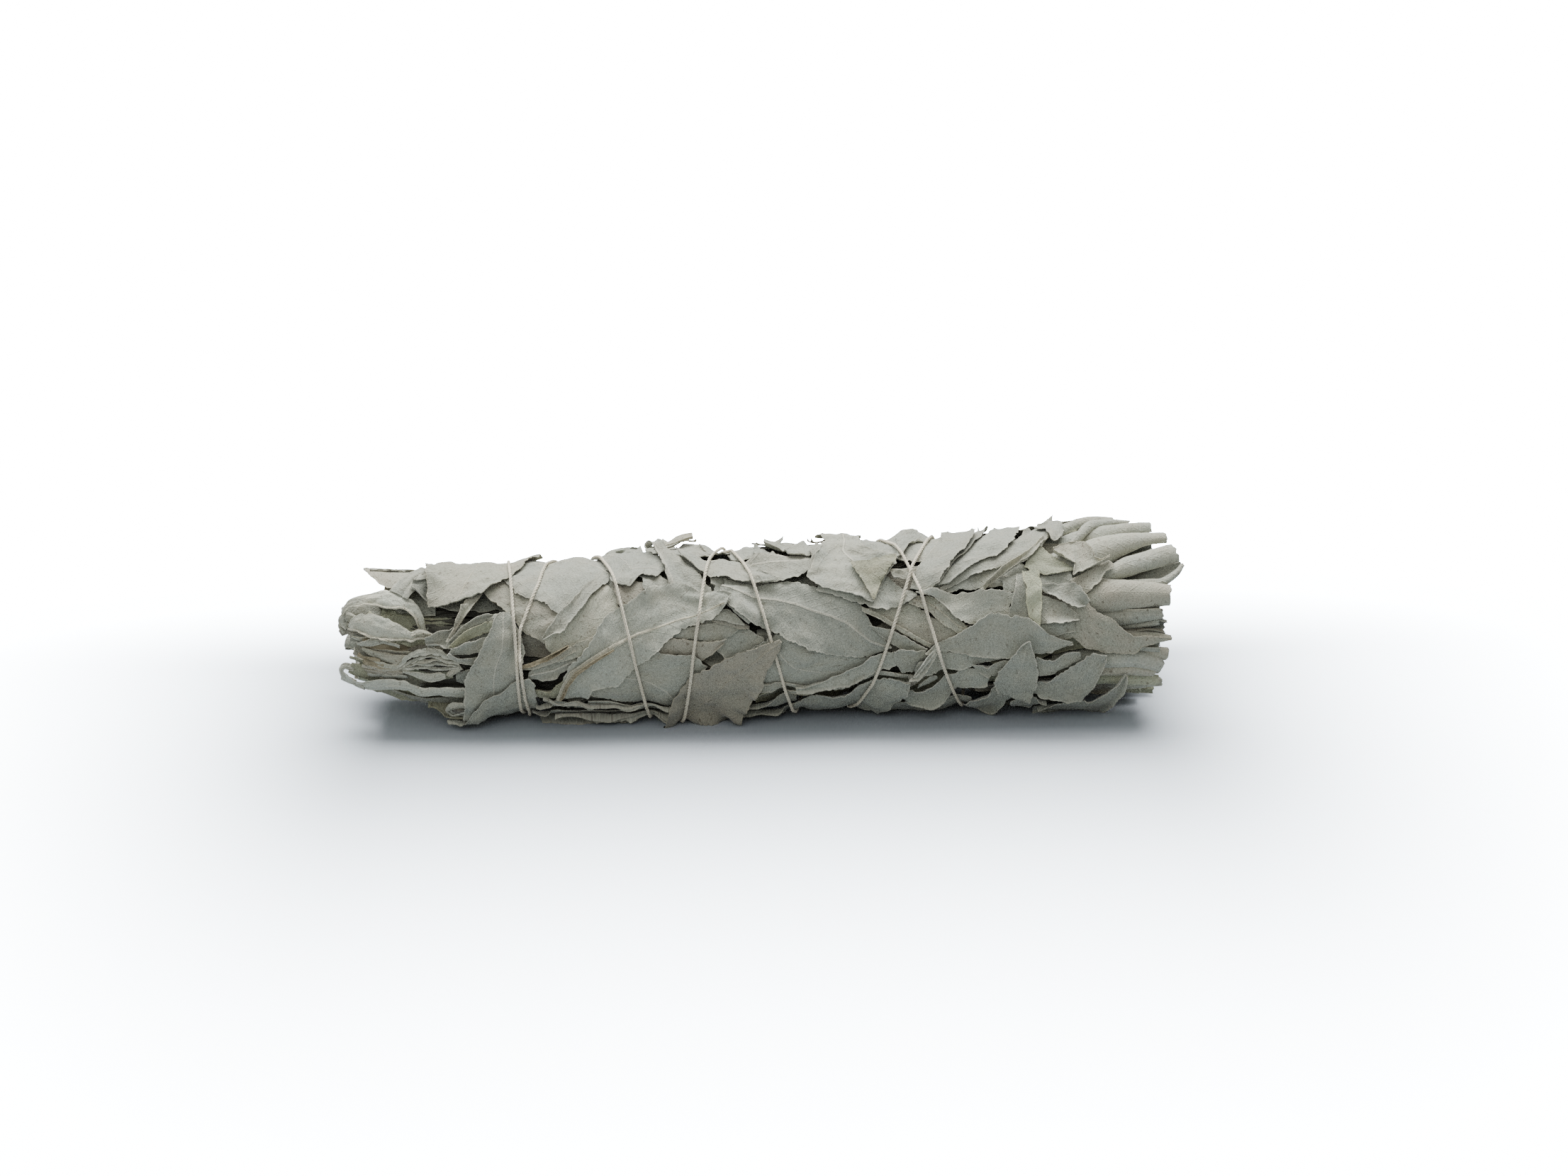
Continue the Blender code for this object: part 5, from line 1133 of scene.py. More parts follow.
# Wrapped leaves of the front, from the innermost to the outermost, each as it lies in the
# photograph: some whole and some torn, so their ends are cut and their margins ragged.
FRONT_LEAVES = (
    Leaf("left_rim", ((39, 60), (36.5, 50), (33.5, 38), (29.5, 20)), ((34, 54), (32.5, 42),
         (30.5, 30), (28.6, 21)), "tan", curl=(0.3, 1.2)),
    Leaf("left_rib", ((47, 42), (42, 41), (37, 38), (33, 31.5), (29.3, 21)), ((47, 34), (41, 35),
         (36, 32), (32, 26), (28.8, 18.5)), curl=(0.8, 1.4), rib=0.4),
    Leaf("left_inner", ((44, 36), (40, 34.5), (36, 31), (32.5, 25), (29.5, 17.8)), ((44, 24),
         (39, 26), (35, 21.5), (31, 16.5), (29.5, 16.6)), "olive", curl=(0.7, 0.7), tone=-0.1,
         rib=0.4),
    Leaf("left_low", ((44, 25), (39.5, 23.5), (35, 20.5), (30, 16)), ((44, 12), (38, 11.5),
         (33, 10.5), (29.5, 12)), curl=(0.9, 0.5), rib=0.3),
    Leaf("left_low_edge", ((44, 9), (37, 8.5), (32, 9), (29.6, 13.5)), ((44, 1), (36, 1.5),
         (31.5, 5), (29, 12)), curl=(1.3, 0.8)),
    Leaf("brown_diamond", ((46, 76), (50, 60), (56, 48), (58.8, 37), (57, 27), (55.2, 17)),
         ((36, 68), (39, 56), (44.2, 43), (46.5, 37), (49, 26), (52, 21), (54.6, 16.5)), "tan",
         curl=(0.2, 0.4), tone=-1.15, rib=0.2),
    Leaf("grey_top", ((44, 100), (52, 112), (60, 120), (68, 118), (74, 106), (76, 88), (74, 64)),
         ((42, 82), (45, 68), (47.5, 57), (51.5, 51), (55, 46.5), (58.6, 37), (62.5, 41), (68, 50),
         (73, 57)), curl=(0.2, 0.4), torn=0.25, tone=0.1, rib=1.0, rib_line=(-0.45, -0.3)),
    Leaf("olive", ((54.8, 21), (58, 27), (63, 40), (68, 53), (71.5, 62), (74, 56)), ((54.8, 18),
         (55.4, 12), (56.8, 6), (62, 10), (69, 18), (74, 34), (74.6, 44)), "tan", curl=(0.2, 0.2),
         tone=2.3),
    Leaf("narrow_strip", ((54.3, 21), (56, 29), (58.5, 37), (61.5, 45), (65, 57), (69, 69),
         (72, 74)), ((54.5, 19.5), (60, 25), (64, 37), (68, 51), (72, 62)), curl=(0.3, 0.5)),
    Leaf("tan_flap", ((54.5, 124), (53.5, 106), (50, 91), (46, 75.5), (42, 63), (38.8, 56)),
         ((30, 124), (25, 112), (22.7, 101), (23.1, 75), (24, 47)), "tan", curl=(0.6, 0.6),
         torn=0.15, tone=-0.2, rib=1.0, tip_lift=0.5),
    Leaf("strip_brown", ((73, 62), (78, 63), (82, 62), (82.6, 52)), ((74, 44), (76, 43), (80, 48),
         (83, 50)), "brown", curl=(0.3, 0.3), tone=0.15, rib=0.3),
    Leaf("strip_right", ((80, 68), (85, 70), (87.5, 62), (89.3, 52)), ((82, 50), (84, 52),
         (87, 52.5), (89, 51)), curl=(0.4, 0.6), rib=0.3),
    Leaf("jagged_top", ((70, 122), (79, 122), (84, 106), (86, 92), (87.5, 82), (89.5, 74)),
         ((67, 116), (70, 98), (71.5, 80), (73.5, 56), (78, 58), (81, 65), (84.5, 63), (86.5, 70),
         (89, 73)), curl=(0.9, 0.4), torn=0.7, rib=0.8, rib_line=(0.3, 0.1)),
    Leaf("top_blade", ((87, 124), (92, 116), (98, 104), (99.5, 97)), ((84, 108), (86, 98), (87, 89),
         (92, 86), (97, 91), (99.5, 95)), curl=(1.2, 0.5), torn=0.4, tone=0.1),
    Leaf("frayed_top", ((83.5, 107), (88, 113), (93, 117), (96, 119)), ((84, 104), (89, 107),
         (94, 111), (96, 116)), "tan", curl=(0.6, 0.6), torn=0.4),
    Leaf("frayed_top_short", ((85, 104), (90, 110), (95, 111)), ((85, 101), (90, 104), (95, 107)),
         "tan", curl=(0.6, 0.6), torn=0.4, tip_lift=0.2),
    Leaf("under_top", ((88, 96), (93, 90), (98, 84), (101, 76)), ((89, 78), (94, 72.5), (98, 68),
         (101, 60)), curl=(0.8, 0.4), tone=0.1),
    Leaf("light_top", ((83, 118), (87, 101), (90, 85), (93.5, 75), (96, 67), (98.5, 57), (101, 44)),
         ((82, 110), (84, 96), (86, 82), (87, 66), (88, 55), (92, 50), (97, 46), (100, 43.5)),
         curl=(0.3, 0.6), torn=0.25, tone=-0.2, rib=0.9, rib_line=(0.6, 0.7)),
    Leaf("ridge_piece", ((99, 64), (103, 60), (107, 56), (109, 50)), ((100.5, 44), (103, 47),
         (106, 50), (108, 52)), curl=(0.7, 0.4), torn=0.4, rib=0.3),
    Leaf("dark_piece", ((103, 46), (107, 48), (111, 44), (115, 30)), ((102, 40), (107, 34),
         (111, 24), (115, 18)), curl=(0.4, 0.6), tone=-0.2),
    Leaf("grey_under_tip", ((94, 30), (102, 30), (108, 24), (113, 14)), ((88, 17), (97, 12),
         (102, 4), (104, -4), (108, 2), (113, 8)), curl=(0.4, 0.4), tone=-0.05),
    Leaf("grey_over_olive", ((88, 21), (93, 24), (100, 27), (107, 22)), ((88, 17.5), (92, 16),
         (97, 13.5), (101, 14), (104, 16.5)), curl=(1.0, 0.3), torn=0.2, tone=0.5, rib=0.3),
    Leaf("ochre_sliver", ((99, 31), (103, 29), (107, 26), (109, 23.5)), ((99, 27), (103, 23.5),
         (106, 21.5), (109, 21)), "brown", curl=(0.8, 0.4), tone=0.3),
    Leaf("small_triangle", ((101.5, 37), (104, 34), (106.5, 28), (107.8, 24.5)), ((99.5, 27.5),
         (102, 27), (105, 24.5), (107.6, 23.5)), curl=(0.8, 0.4)),
    Leaf("small_stub", ((105, 42), (107, 35), (110, 27.5)), ((103, 37.5), (105.5, 31), (108.7, 24)),
         curl=(0.4, 0.4), torn=0.05, tone=0.1),
    Leaf("olive_piece", ((84.5, 9), (88, 17.5), (93, 15.5), (98, 13), (103, 16)), ((84, 5.5),
         (90, 3), (96, -2), (99, 5), (102, 12)), "brown", curl=(0.4, 0.3), tone=1.6),
    Leaf("under_hero", ((74, 16), (80, 11), (86, 7), (91, 6), (94.5, 4), (98, -3.5), (95.5, -16),
         (93, -30)), ((64, -6), (65.5, -26), (68, -31), (73, -35), (78, -40), (84, -43), (88, -46)),
         curl=(0.5, 0.3), torn=0.2, tone=0.8, rib=1.0, rib_line=(0.0, 0.2)),
    Leaf("lower_middle", ((118, 18), (125, 9), (132, 3), (141, -2), (139, -9), (136, -16)),
         ((109, 8), (111, -8), (113, -22), (120, -24.5), (127, -22), (134, -19)), curl=(0.4, 0.3),
         torn=0.2, tone=0.55, rib=1.0),
    Leaf("low_middle_slip", ((110, -16), (114, -19), (119, -21), (124, -22)), ((111, -27),
         (115, -28), (119, -24), (124, -25)), torn=0.4),
    Leaf("middle_hero", ((103, 57), (108, 55), (112, 54), (118, 55), (124, 53), (129, 48),
         (134, 45), (138, 39), (140, 29), (142, 19), (144.5, 11), (147, 4)), ((101, 42), (104, 36),
         (108, 28), (112, 21.5), (116, 17), (120, 12), (124, 7), (129, 2), (134, 0), (140, -1.5),
         (144, 0.5), (146.8, 3)), curl=(0.5, 0.35), torn=0.25, rib=1.4, rib_line=(-0.2, -0.1)),
    Leaf("tan_wedge", ((145, 36), (152.5, 35), (158, 25), (164.5, 13.5), (163, 8)), ((139, 30),
         (142, 26.5), (146, 21.5), (150, 14.5), (157, 3)), "tan", curl=(0.3, 0.7), tone=-0.1),
    Leaf("tan_wedge_rib", ((139, 33), (144, 27), (149, 19), (157.5, 6)), ((139, 29.5), (144, 23.5),
         (149, 15), (157, 3)), "tan", curl=(0.4, 0.8), torn=0.1, tone=0.15),
    Leaf("under_wedge", ((141, 20), (146, 18), (150, 13), (156.5, 3.5)), ((144.5, 12), (147, 6),
         (150, 1.5), (155, 0.5)), curl=(0.4, 0.4), tone=-0.15),
    Leaf("slanting_slip", ((152, 40), (157, 40), (160, 35), (163.5, 25), (167, 17)), ((151.5, 34),
         (156, 29), (160, 20.5), (164, 13), (167, 13)), "tan", curl=(0.5, 0.4), tone=-0.05,
         rib=1.2),
    Leaf("middle_lobe", ((132, 64), (142, 64), (147, 53), (149, 48.5), (151.5, 45), (153.8, 40.5)),
         ((127, 46), (134, 39), (138, 34.5), (142, 31), (146, 30), (149.5, 32.5), (152, 36),
         (153.8, 39)), curl=(0.4, 0.7), torn=0.15, tone=1.2, rib=0.3),
    Leaf("pleat_high", ((146.5, 62), (150, 63), (155, 66)), ((147.5, 57.5), (151, 59), (155, 61)),
         curl=(0.9, 0.7)),
    Leaf("pleat_middle", ((146.8, 59), (150, 60), (155, 62)), ((147.5, 54), (151, 55.5), (155, 57)),
         "tan", curl=(0.9, 0.7)),
    Leaf("pleat_low", ((147, 56), (150, 56.5), (155, 58)), ((148, 50.5), (151, 51.5), (155, 53)),
         curl=(0.9, 0.7)),
    Leaf("top_round", ((104.3, 90), (105, 97), (108, 101), (113, 100)), ((105, 84), (108, 82),
         (111.5, 83), (113, 90)), curl=(0.4, 0.8), tone=0.2),
    Leaf("top_lap", ((111, 92), (114, 92), (117, 84), (118, 79)), ((111.5, 78), (113, 77),
         (116, 77), (118, 77)), curl=(0.8, 0.4), tone=0.1),
    Leaf("top_point", ((111, 114), (115, 112), (119.3, 106)), ((112, 97), (115, 98), (118.5, 103)),
         curl=(0.8, 1.0), torn=0.6, tone=0.1, tip_lift=1.2),
    Leaf("top_slip", ((114, 100), (119, 100), (124, 101)), ((114, 90), (119, 89), (124, 94)),
         curl=(0.5, 1.0)),
    Leaf("long_top", ((106, 80), (112, 79), (118, 79.5), (122, 81), (126, 79.5), (126.6, 74)),
         ((108, 56), (112, 54.5), (116, 53.5), (120, 55), (123, 58), (125.8, 64)), curl=(0.4, 0.6),
         torn=0.2, tone=-0.25, rib=1.0, rib_line=(-0.5, -0.4)),
    Leaf("long_top_left", ((90, 92), (97, 84), (103, 81), (107, 78), (110, 70), (113, 63),
         (117, 55)), ((92, 78), (98, 64), (101, 57), (106, 54.5), (111, 53), (116.5, 53)),
         curl=(0.3, 0.6), torn=0.15, tone=0.05),
    Leaf("pale_top", ((119, 84), (123, 95), (127, 104), (134, 112)), ((120.5, 78), (126, 77),
         (130, 84), (134, 96)), curl=(0.4, 0.4), tone=0.3),
    Leaf("dark_top_tip", ((126, 112), (131, 118), (135, 114)), ((127, 103), (131, 104), (135, 108)),
         "brown", curl=(1.0, 0.6), tone=-0.6, tip_lift=1.4),
    Leaf("back_of_diamond", ((131, 108), (137, 112), (144, 112)), ((133, 92), (138, 88), (143, 90)),
         curl=(0.9, 0.4)),
    Leaf("top_floor", ((146, 116), (154, 118), (164, 118)), ((146, 76), (154, 70), (162, 66))),
    Leaf("top_triangle", ((138, 106), (145, 112), (150, 108), (151.5, 94)), ((138.5, 84), (141, 79),
         (145, 75), (150, 72), (151, 80)), curl=(0.5, 0.8), tone=0.15, rib=0.3),
    Leaf("crossing_lap", ((150, 106), (156, 110), (158, 100)), ((149.5, 72), (152, 80), (154.5, 92),
         (156, 99)), curl=(0.5, 0.9)),
    Leaf("diamond_lap", ((128.5, 98), (130.8, 95), (130, 84), (128, 74), (126.5, 62)), ((125.8, 84),
         (126.3, 76), (125.4, 66), (125, 60)), curl=(0.3, 0.5), tone=0.15),
    Leaf("folded_diamond", ((141, 118), (140, 100), (140, 84), (143.5, 77), (149.6, 73),
         (149.3, 66), (147, 57), (145, 49), (142.3, 35.5)), ((128, 116), (130.3, 94), (128, 76),
         (125.5, 61), (124.7, 55), (127, 48.5), (131, 44.5), (136, 41), (141.5, 34.5)),
         curl=(0.4, 0.5), torn=0.2, tone=1.2, rib=1.2, rib_line=(-0.1, -0.2)),
    Leaf("folded_flap", ((149.2, 70), (148.6, 62), (146.3, 54), (144, 46), (142.2, 35.2)),
         ((136, 65), (137.2, 58), (139.3, 49), (141.6, 35.5)), "olive", curl=(0.2, 0.5), torn=0.1,
         tone=-1.45, tip_lift=0.1),
    Leaf("narrow_fold", ((50.5, -6), (52.5, -1), (56, 1), (60, 4), (64, 8)), ((50, -13), (54, -12),
         (58, -9), (62, -2), (65, 4)), curl=(0.3, 0.9), torn=0.1, rib=1.6),
    Leaf("petiole_blade", ((57, 9), (61, 15), (65, 19), (69.5, 22)), ((58.5, 2), (62, 4), (66, 9),
         (70, 15)), "tan", curl=(0.3, 0.5), tone=0.9),
    Leaf("petiole", ((46.5, -3), (52, 3), (58, 10), (63, 16)), ((47, -6), (53, -2), (58.5, 4),
         (63, 11)), "tan", curl=(1.2, 0.4), torn=0.05, tone=0.6),
    Leaf("petiole_stalk", ((46.5, -2), (51, 3), (56, 9.4), (61, 15.4)), ((46.8, -4.6), (51.6, 0.6),
         (56.6, 7), (61.2, 13.8)), "stem", curl=(0.6, 0.6), torn=0.02, tip_lift=0.0),
    Leaf("low_stalk", ((51, -23), (56, -21), (59.5, -13), (61, -6)), ((51, -31), (57, -31),
         (61, -24), (63, -12)), "olive", curl=(0.7, 0.7), torn=0.05, tone=0.35),
    Leaf("left_hero", ((58.8, -22), (59.5, -10), (61, 0), (64, 8), (67, 17), (69, 27), (71, 35),
         (74, 40.5), (77, 44), (80, 49), (84, 54), (89, 55), (93, 54), (97, 50), (101, 46.5),
         (104.4, 43)), ((59, -29), (62, -32), (66, -30), (67.3, -20), (71, -18.5), (74, -18),
         (77, -9), (80, -2.5), (84, 7), (88, 17), (92, 23), (96, 26), (100, 29), (102.5, 35),
         (104.2, 42)), curl=(0.45, 0.4), torn=0.15, tone=1.6),
    Leaf("hero_rib", ((57.4, -29), (59.0, -14.5), (61.2, -4), (65.8, 4.6), (72.8, 14.6),
         (79.4, 21.8), (84.3, 25), (91, 29.9), (102.4, 36.8)), ((58.4, -31), (60.5, -16),
         (63.0, -6), (67, 1.6), (73.5, 11.8), (79.9, 20.1), (84.6, 23.7), (91.2, 28.8),
         (102.5, 36)), "tan", curl=(0.2, 0.2), torn=0.02, tone=0.9, rib=1.2, tip_lift=0.0),
    Leaf("hero_rib_fold", ((58.4, -27), (60.2, -13), (62.6, -3.4), (68, 5.4), (73, 11.4)),
         ((58.9, -28), (60.9, -14), (63.5, -4.6), (68.6, 4.2), (73.2, 10.8)), "stem",
         curl=(0.3, 0.3), torn=0.02, tip_lift=0.0),
    Leaf("grey_upright", ((47.5, -46), (48.3, -20), (48.6, -2), (49.8, 10), (49.1, 20), (47.7, 30),
         (46.8, 35), (45.6, 41.5)), ((32.6, -44), (33, -22), (33.2, -11), (35, 3), (38, 15),
         (40.2, 27), (41.5, 35.5), (43, 40.5)), curl=(0.5, 0.4), torn=0.15, tone=0.2, rib=1.0,
         rib_line=(-0.1, 0.1), tip_lift=0.2),
    Leaf("low_fold", ((52.1, -88), (45, -88), (38, -84), (32, -74), (29, -62), (28.3, -50)),
         ((52, -13), (50.3, -9.5), (46, -13.5), (42.5, -20), (38, -24), (35.3, -34), (33, -45),
         (28.5, -49)), curl=(0.3, 0.5), torn=0.35, tone=0.85),
    Leaf("fan_floor", ((156, 50), (164, 54), (172, 60), (182, 66)), ((156, 40), (166, 41),
         (174, 42), (184, 44)), tone=-0.3),
    Leaf("fan_under", ((176, 49), (181, 50), (186, 49), (195, 49)), ((177, 38), (183, 38),
         (190, 39), (195, 41)), curl=(0.3, 0.4), tone=-0.1),
    Leaf("fan_inner", ((160, 43), (166, 58), (174, 72), (182, 86), (188, 104), (193, 112)),
         ((160, 40.5), (165, 45.5), (169, 50.5), (174, 54), (179, 57), (184, 60), (187, 69),
         (190, 80), (193, 94)), curl=(0.9, 0.4), torn=0.15, tone=0.05),
    Leaf("fan_third", ((158, 44), (164, 64), (170, 84), (175, 104), (178, 122)), ((162.5, 45),
         (165, 50), (168, 56), (171, 60), (173, 63), (175.6, 63), (178, 68), (180.6, 78),
         (182.3, 90), (184, 108)), curl=(0.9, 0.3), torn=0.2, tone=0.05),
    Leaf("fan_second", ((156, 44), (162, 62), (167, 82), (171, 104), (173, 122)), ((159.6, 44.5),
         (161.2, 50), (163.8, 60), (166.5, 68), (169.8, 77), (172.2, 88), (173.8, 98),
         (175.6, 116)), curl=(0.8, 0.3), torn=0.1, tone=-0.7),
    Leaf("fan_outer", ((151.8, 44), (154, 58), (156.5, 69), (159, 80), (161.6, 94), (163, 122)),
         ((157.6, 40), (160, 46), (161.6, 52), (163.2, 57.5), (165.6, 66), (168.2, 75), (169.9, 81),
         (171.1, 92), (171.6, 118)), curl=(0.8, 0.4), torn=0.05, tone=0.15),
    Leaf("yellow_piece", ((187.5, 72), (190.5, 64), (193.3, 57), (196.2, 51)), ((184, 60),
         (182.3, 53.5), (185, 49), (188, 46.5), (192, 47.5), (195.6, 49.6)), "olive",
         curl=(0.3, 0.4), tone=-1.05),
    Leaf("fan_tip", ((170.5, 41), (174, 48), (179, 57), (184, 64), (188, 76), (191, 88)),
         ((171.3, 39), (173, 43), (176.5, 48), (178.5, 51.5), (182.5, 57), (185, 61), (188, 71),
         (190.2, 80)), "tan", curl=(0.9, 0.5), torn=0.1, tone=0.05),
    Leaf("small_torn", ((188, 100), (192, 104), (195, 98), (194.5, 86)), ((187.4, 95), (189.6, 90),
         (190, 80), (191, 76), (193.5, 79)), curl=(0.4, 0.3), torn=0.6, tone=0.1),
    Leaf("tan_corner", ((194.5, 43.5), (198, 47.5), (202, 52.5), (205, 57.5), (206.6, 54)),
         ((195, 40), (198, 33), (200, 36), (202.3, 40.5), (204, 47), (206.6, 52)), "tan",
         curl=(0.4, 0.4), torn=0.25),
    Leaf("pink_end", ((190.7, 66), (192.6, 71), (196.5, 74), (199.6, 69), (201.2, 62.5),
         (201.6, 57), (203.2, 55), (205.6, 58)), ((190.9, 63), (193.5, 57), (196, 51.5), (195, 44),
         (199, 48.5), (202.5, 52.5), (205.4, 55.5)), "tan", curl=(0.5, 0.8), torn=0.25, tone=-0.25),
    Leaf("brown_end", ((190, 24), (197, 34), (199.5, 28.5), (201.2, 23.5), (205, 19.5), (207.6, 13),
         (211, 7.2), (216, 6.4), (221.6, 4.2)), ((189, 6), (195, 7), (198, 1), (203, -2.5),
         (208, -4.6), (212, -4.6), (213.6, -1.6), (218, 1), (221.5, 2.8)), "tan", curl=(0.4, 0.3),
         torn=0.15, tone=-0.1),
    Leaf("end_lower", ((185.5, 17.5), (190, 17.5), (195.3, 18)), ((186, 8), (190.5, 9),
         (195.3, 12)), curl=(0.4, 0.6), torn=0.2),
    Leaf("end_middle", ((185.5, 36), (189, 33.5), (193, 28.5), (196.4, 21.5)), ((185.5, 17),
         (191, 17.3), (196.2, 18.6)), curl=(0.4, 0.8), torn=0.1, tone=0.05),
    Leaf("end_upper", ((185, 41), (191, 41.5), (196, 40.5), (198, 34), (199.3, 29)), ((185.5, 40),
         (188.5, 35), (192, 29.5), (196, 25.2), (197.8, 26)), curl=(0.5, 0.9), torn=0.1, tone=0.1),
    Leaf("fold_band", ((153.3, 40), (157, 41), (162, 39), (168, 39.5), (174, 39.5), (179.6, 38)),
         ((154.6, 38.5), (158, 36.5), (161, 31), (163.2, 24), (165, 20), (170, 17), (177, 18)),
         curl=(0.4, 0.5), torn=0.1, tone=2.3),
    Leaf("upright_slip", ((176.8, 20), (178.4, 30), (179.8, 40), (180.3, 49)), ((183.6, 18),
         (183.6, 30), (182.6, 42), (182, 49)), curl=(0.6, 0.2), torn=0.05, tone=0.05),
    Leaf("yellow_upright", ((181.5, 49), (182.4, 40), (182.6, 30), (183, 22), (185.4, 15.5)),
         ((186.2, 50), (186.8, 40), (186.6, 27), (186, 15.5)), "olive", curl=(0.4, 0.4), torn=0.2,
         tone=2.7),
    Leaf("low_edge_1", ((52, -36), (58, -34), (63, -39), (70, -40), (79, -42), (88, -44)),
         ((52, -42), (58, -42), (64, -46), (71, -47), (79, -48), (88, -48)), curl=(1.3, 0.6)),
    Leaf("low_edge_2", ((51, -46), (58, -45), (65, -49), (74, -50), (84, -50), (92, -50)),
         ((51, -58), (60, -60), (70, -60), (80, -60), (92, -60)), curl=(1.2, 0.5), torn=0.4),
    Leaf("low_edge_3", ((53, -60), (66, -58), (80, -57), (99, -58)), ((53, -74), (68, -76),
         (84, -76), (99, -72)), curl=(1.4, 0.6), torn=0.5),
    Leaf("low_edge_slip", ((66, -33), (71, -33), (76, -38), (81, -42)), ((66, -37), (71, -39),
         (76, -43), (81, -46)), curl=(1.0, 0.6)),
    Leaf("low_rim_1", ((54, -26), (60, -31), (68, -35), (76, -37), (84, -39.5), (92, -43)),
         ((54, -28.5), (60, -33.5), (68, -37.5), (76, -39.5), (84, -42), (92, -45.5)),
         curl=(1.0, 1.0), tone=0.6),
    Leaf("low_rim_2", ((57, -47), (68, -51), (80, -51), (90, -53)), ((57, -50), (68, -54),
         (80, -54), (90, -56)), curl=(1.2, 1.0), torn=0.4, tone=0.4),
    Leaf("low_hollow_edge", ((104, -44), (110, -41), (115, -38), (121, -30)), ((104, -54),
         (112, -52), (118, -50), (122, -46)), curl=(0.8, 0.6), torn=0.6, tone=-0.1),
    Leaf("low_hollow_slip", ((106, -50), (113, -52), (121, -54)), ((106, -60), (114, -64),
         (121, -66)), curl=(1.2, 0.6), torn=0.4),
    Leaf("low_band_slit", ((118.5, -28), (123, -25.5), (128, -23), (133, -22)), ((119, -34),
         (124, -31), (129, -27.5), (134, -25)), "tan", curl=(1.0, 0.5), torn=0.2),
    Leaf("low_band_high", ((129, -21), (134, -21), (138, -18.5), (142, -14.5), (147, -14.5),
         (152, -16.5)), ((129.5, -24), (134, -25), (139, -22), (143, -18.5), (147, -18),
         (152, -20)), curl=(0.9, 0.5), torn=0.2, tone=0.1),
    Leaf("low_band_left", ((121.3, -22), (126, -18.5), (130, -15), (135, -9.5), (140, -2.5),
         (143.5, 0.5), (147.2, 1.8)), ((121.6, -25), (126, -23.5), (131, -21.5), (136, -20),
         (140, -16.5), (144, -13.5), (148.9, -8.5)), curl=(0.6, 0.8), torn=0.5, tone=0.7),
    Leaf("behind_stalk", ((147, 3), (151, 4.5), (155.8, 2.5), (156, -4)), ((148.2, -8),
         (149.5, -13), (152.5, -14), (155, -10)), curl=(0.8, 0.2), tone=-0.1),
    Leaf("low_band_under", ((144, -46), (152, -47), (160, -46), (169, -43)), ((144, -64),
         (152, -66), (160, -66), (169, -64)), curl=(1.2, 0.5), torn=0.4),
    Leaf("small_brown_low", ((151.5, -14.5), (154, -15), (156.3, -17)), ((151.7, -28), (153.4, -25),
         (155.6, -20)), "brown", curl=(0.4, 0.4), tone=0.1),
    Leaf("small_slip_low", ((154.5, -22), (157.5, -17.5), (159, -19.5)), ((154, -27), (157, -25),
         (159.4, -22))),
    Leaf("low_band_right", ((145, -33), (150, -29.5), (156, -25.5), (161, -20.5), (164, -17),
         (166.3, -11), (169, -12.5), (173.2, -20.5)), ((146.5, -40), (152, -45), (158, -45.5),
         (163, -42), (165, -34), (169, -29.5), (172.6, -25)), curl=(0.4, 0.9), torn=0.45, tone=0.7),
    Leaf("low_band_middle", ((120.5, -47), (124, -37), (127, -33), (131, -31), (135, -27),
         (139, -22.5), (143, -20), (148, -18), (151.8, -18)), ((121, -64), (129, -66), (138, -64),
         (144.5, -60), (147, -52), (149.6, -42), (151.2, -33), (151.8, -21)), curl=(0.7, 0.4),
         torn=0.2, tone=0.65),
    Leaf("low_point", ((153.5, -5), (158, 0), (165, -1), (172, -3), (179, -4)), ((152.5, -15.5),
         (158, -16), (163, -14), (168, -10.5), (173, -7.5), (179, -4.5)), curl=(0.2, 0.7), torn=0.1,
         tone=0.3),
    Leaf("point_backing", ((168, -7), (172, -8.5), (176, -7), (180, -6)), ((170, -14), (173, -18),
         (176, -20), (180, -20)), curl=(0.5, 0.4), tone=-0.05),
    Leaf("low_curl_end", ((167.5, -52), (168.6, -43), (172, -36), (175, -27), (177.6, -21.5),
         (181, -23), (183, -30)), ((168, -62), (174, -64), (176, -59), (178, -47), (180, -41.5),
         (183, -38)), curl=(0.6, 0.8), torn=0.25, tone=0.4, rib=0.3),
    Leaf("bottom_slip", ((179.5, -43), (182, -38.5), (186, -40), (189, -43)), ((180.5, -60),
         (184, -58), (188, -50)), curl=(0.7, 0.7)),
    Leaf("bottom_right", ((187, -54), (191.5, -46), (196, -41.5), (201, -43.5), (204.5, -35),
         (207.5, -26), (209.3, -19.5)), ((186, -66), (194, -69), (200, -68), (205, -66),
         (207.5, -50), (209.5, -33), (210, -21)), curl=(0.5, 0.8), torn=0.15, tone=0.6),
    Leaf("right_hero", ((155.5, 1.5), (158, 5.5), (161, 9), (164, 12.5), (167, 17), (170, 21.5),
         (172.8, 25.5), (175, 25), (178, 23), (182, 22), (184.5, 18.5), (188, 12), (191, 8.5),
         (194.6, 5.5)), ((155.8, 0.5), (159, 0.3), (163, -0.3), (168, -2.2), (173, -3.7),
         (178, -4.4), (182, -4), (187, -2.8), (190, -1), (193, 2), (194.8, 4.5)), torn=0.1,
         tone=0.5),
    Leaf("hero_stalk", ((152.6, -12), (154.2, -5), (155.6, 0.5), (157.4, 3.5)), ((151.2, -14),
         (153.8, -14.5), (156.2, -8), (158.8, 1)), curl=(0.9, 0.9), torn=0.03, tone=1.2, rib=1.2),
    Leaf("low_rung", ((185, -4), (190, -6), (191.6, -3), (194, 0.5), (196.8, -1)), ((185, -20.5),
         (190, -17.5), (194, -11.5), (197.2, -6.5)), curl=(0.5, 0.4), torn=0.15, tone=0.3),
    Leaf("low_leaf_end", ((185.5, -25), (190, -17.5), (194, -10.5), (197.5, -4.5), (200.5, -0.5),
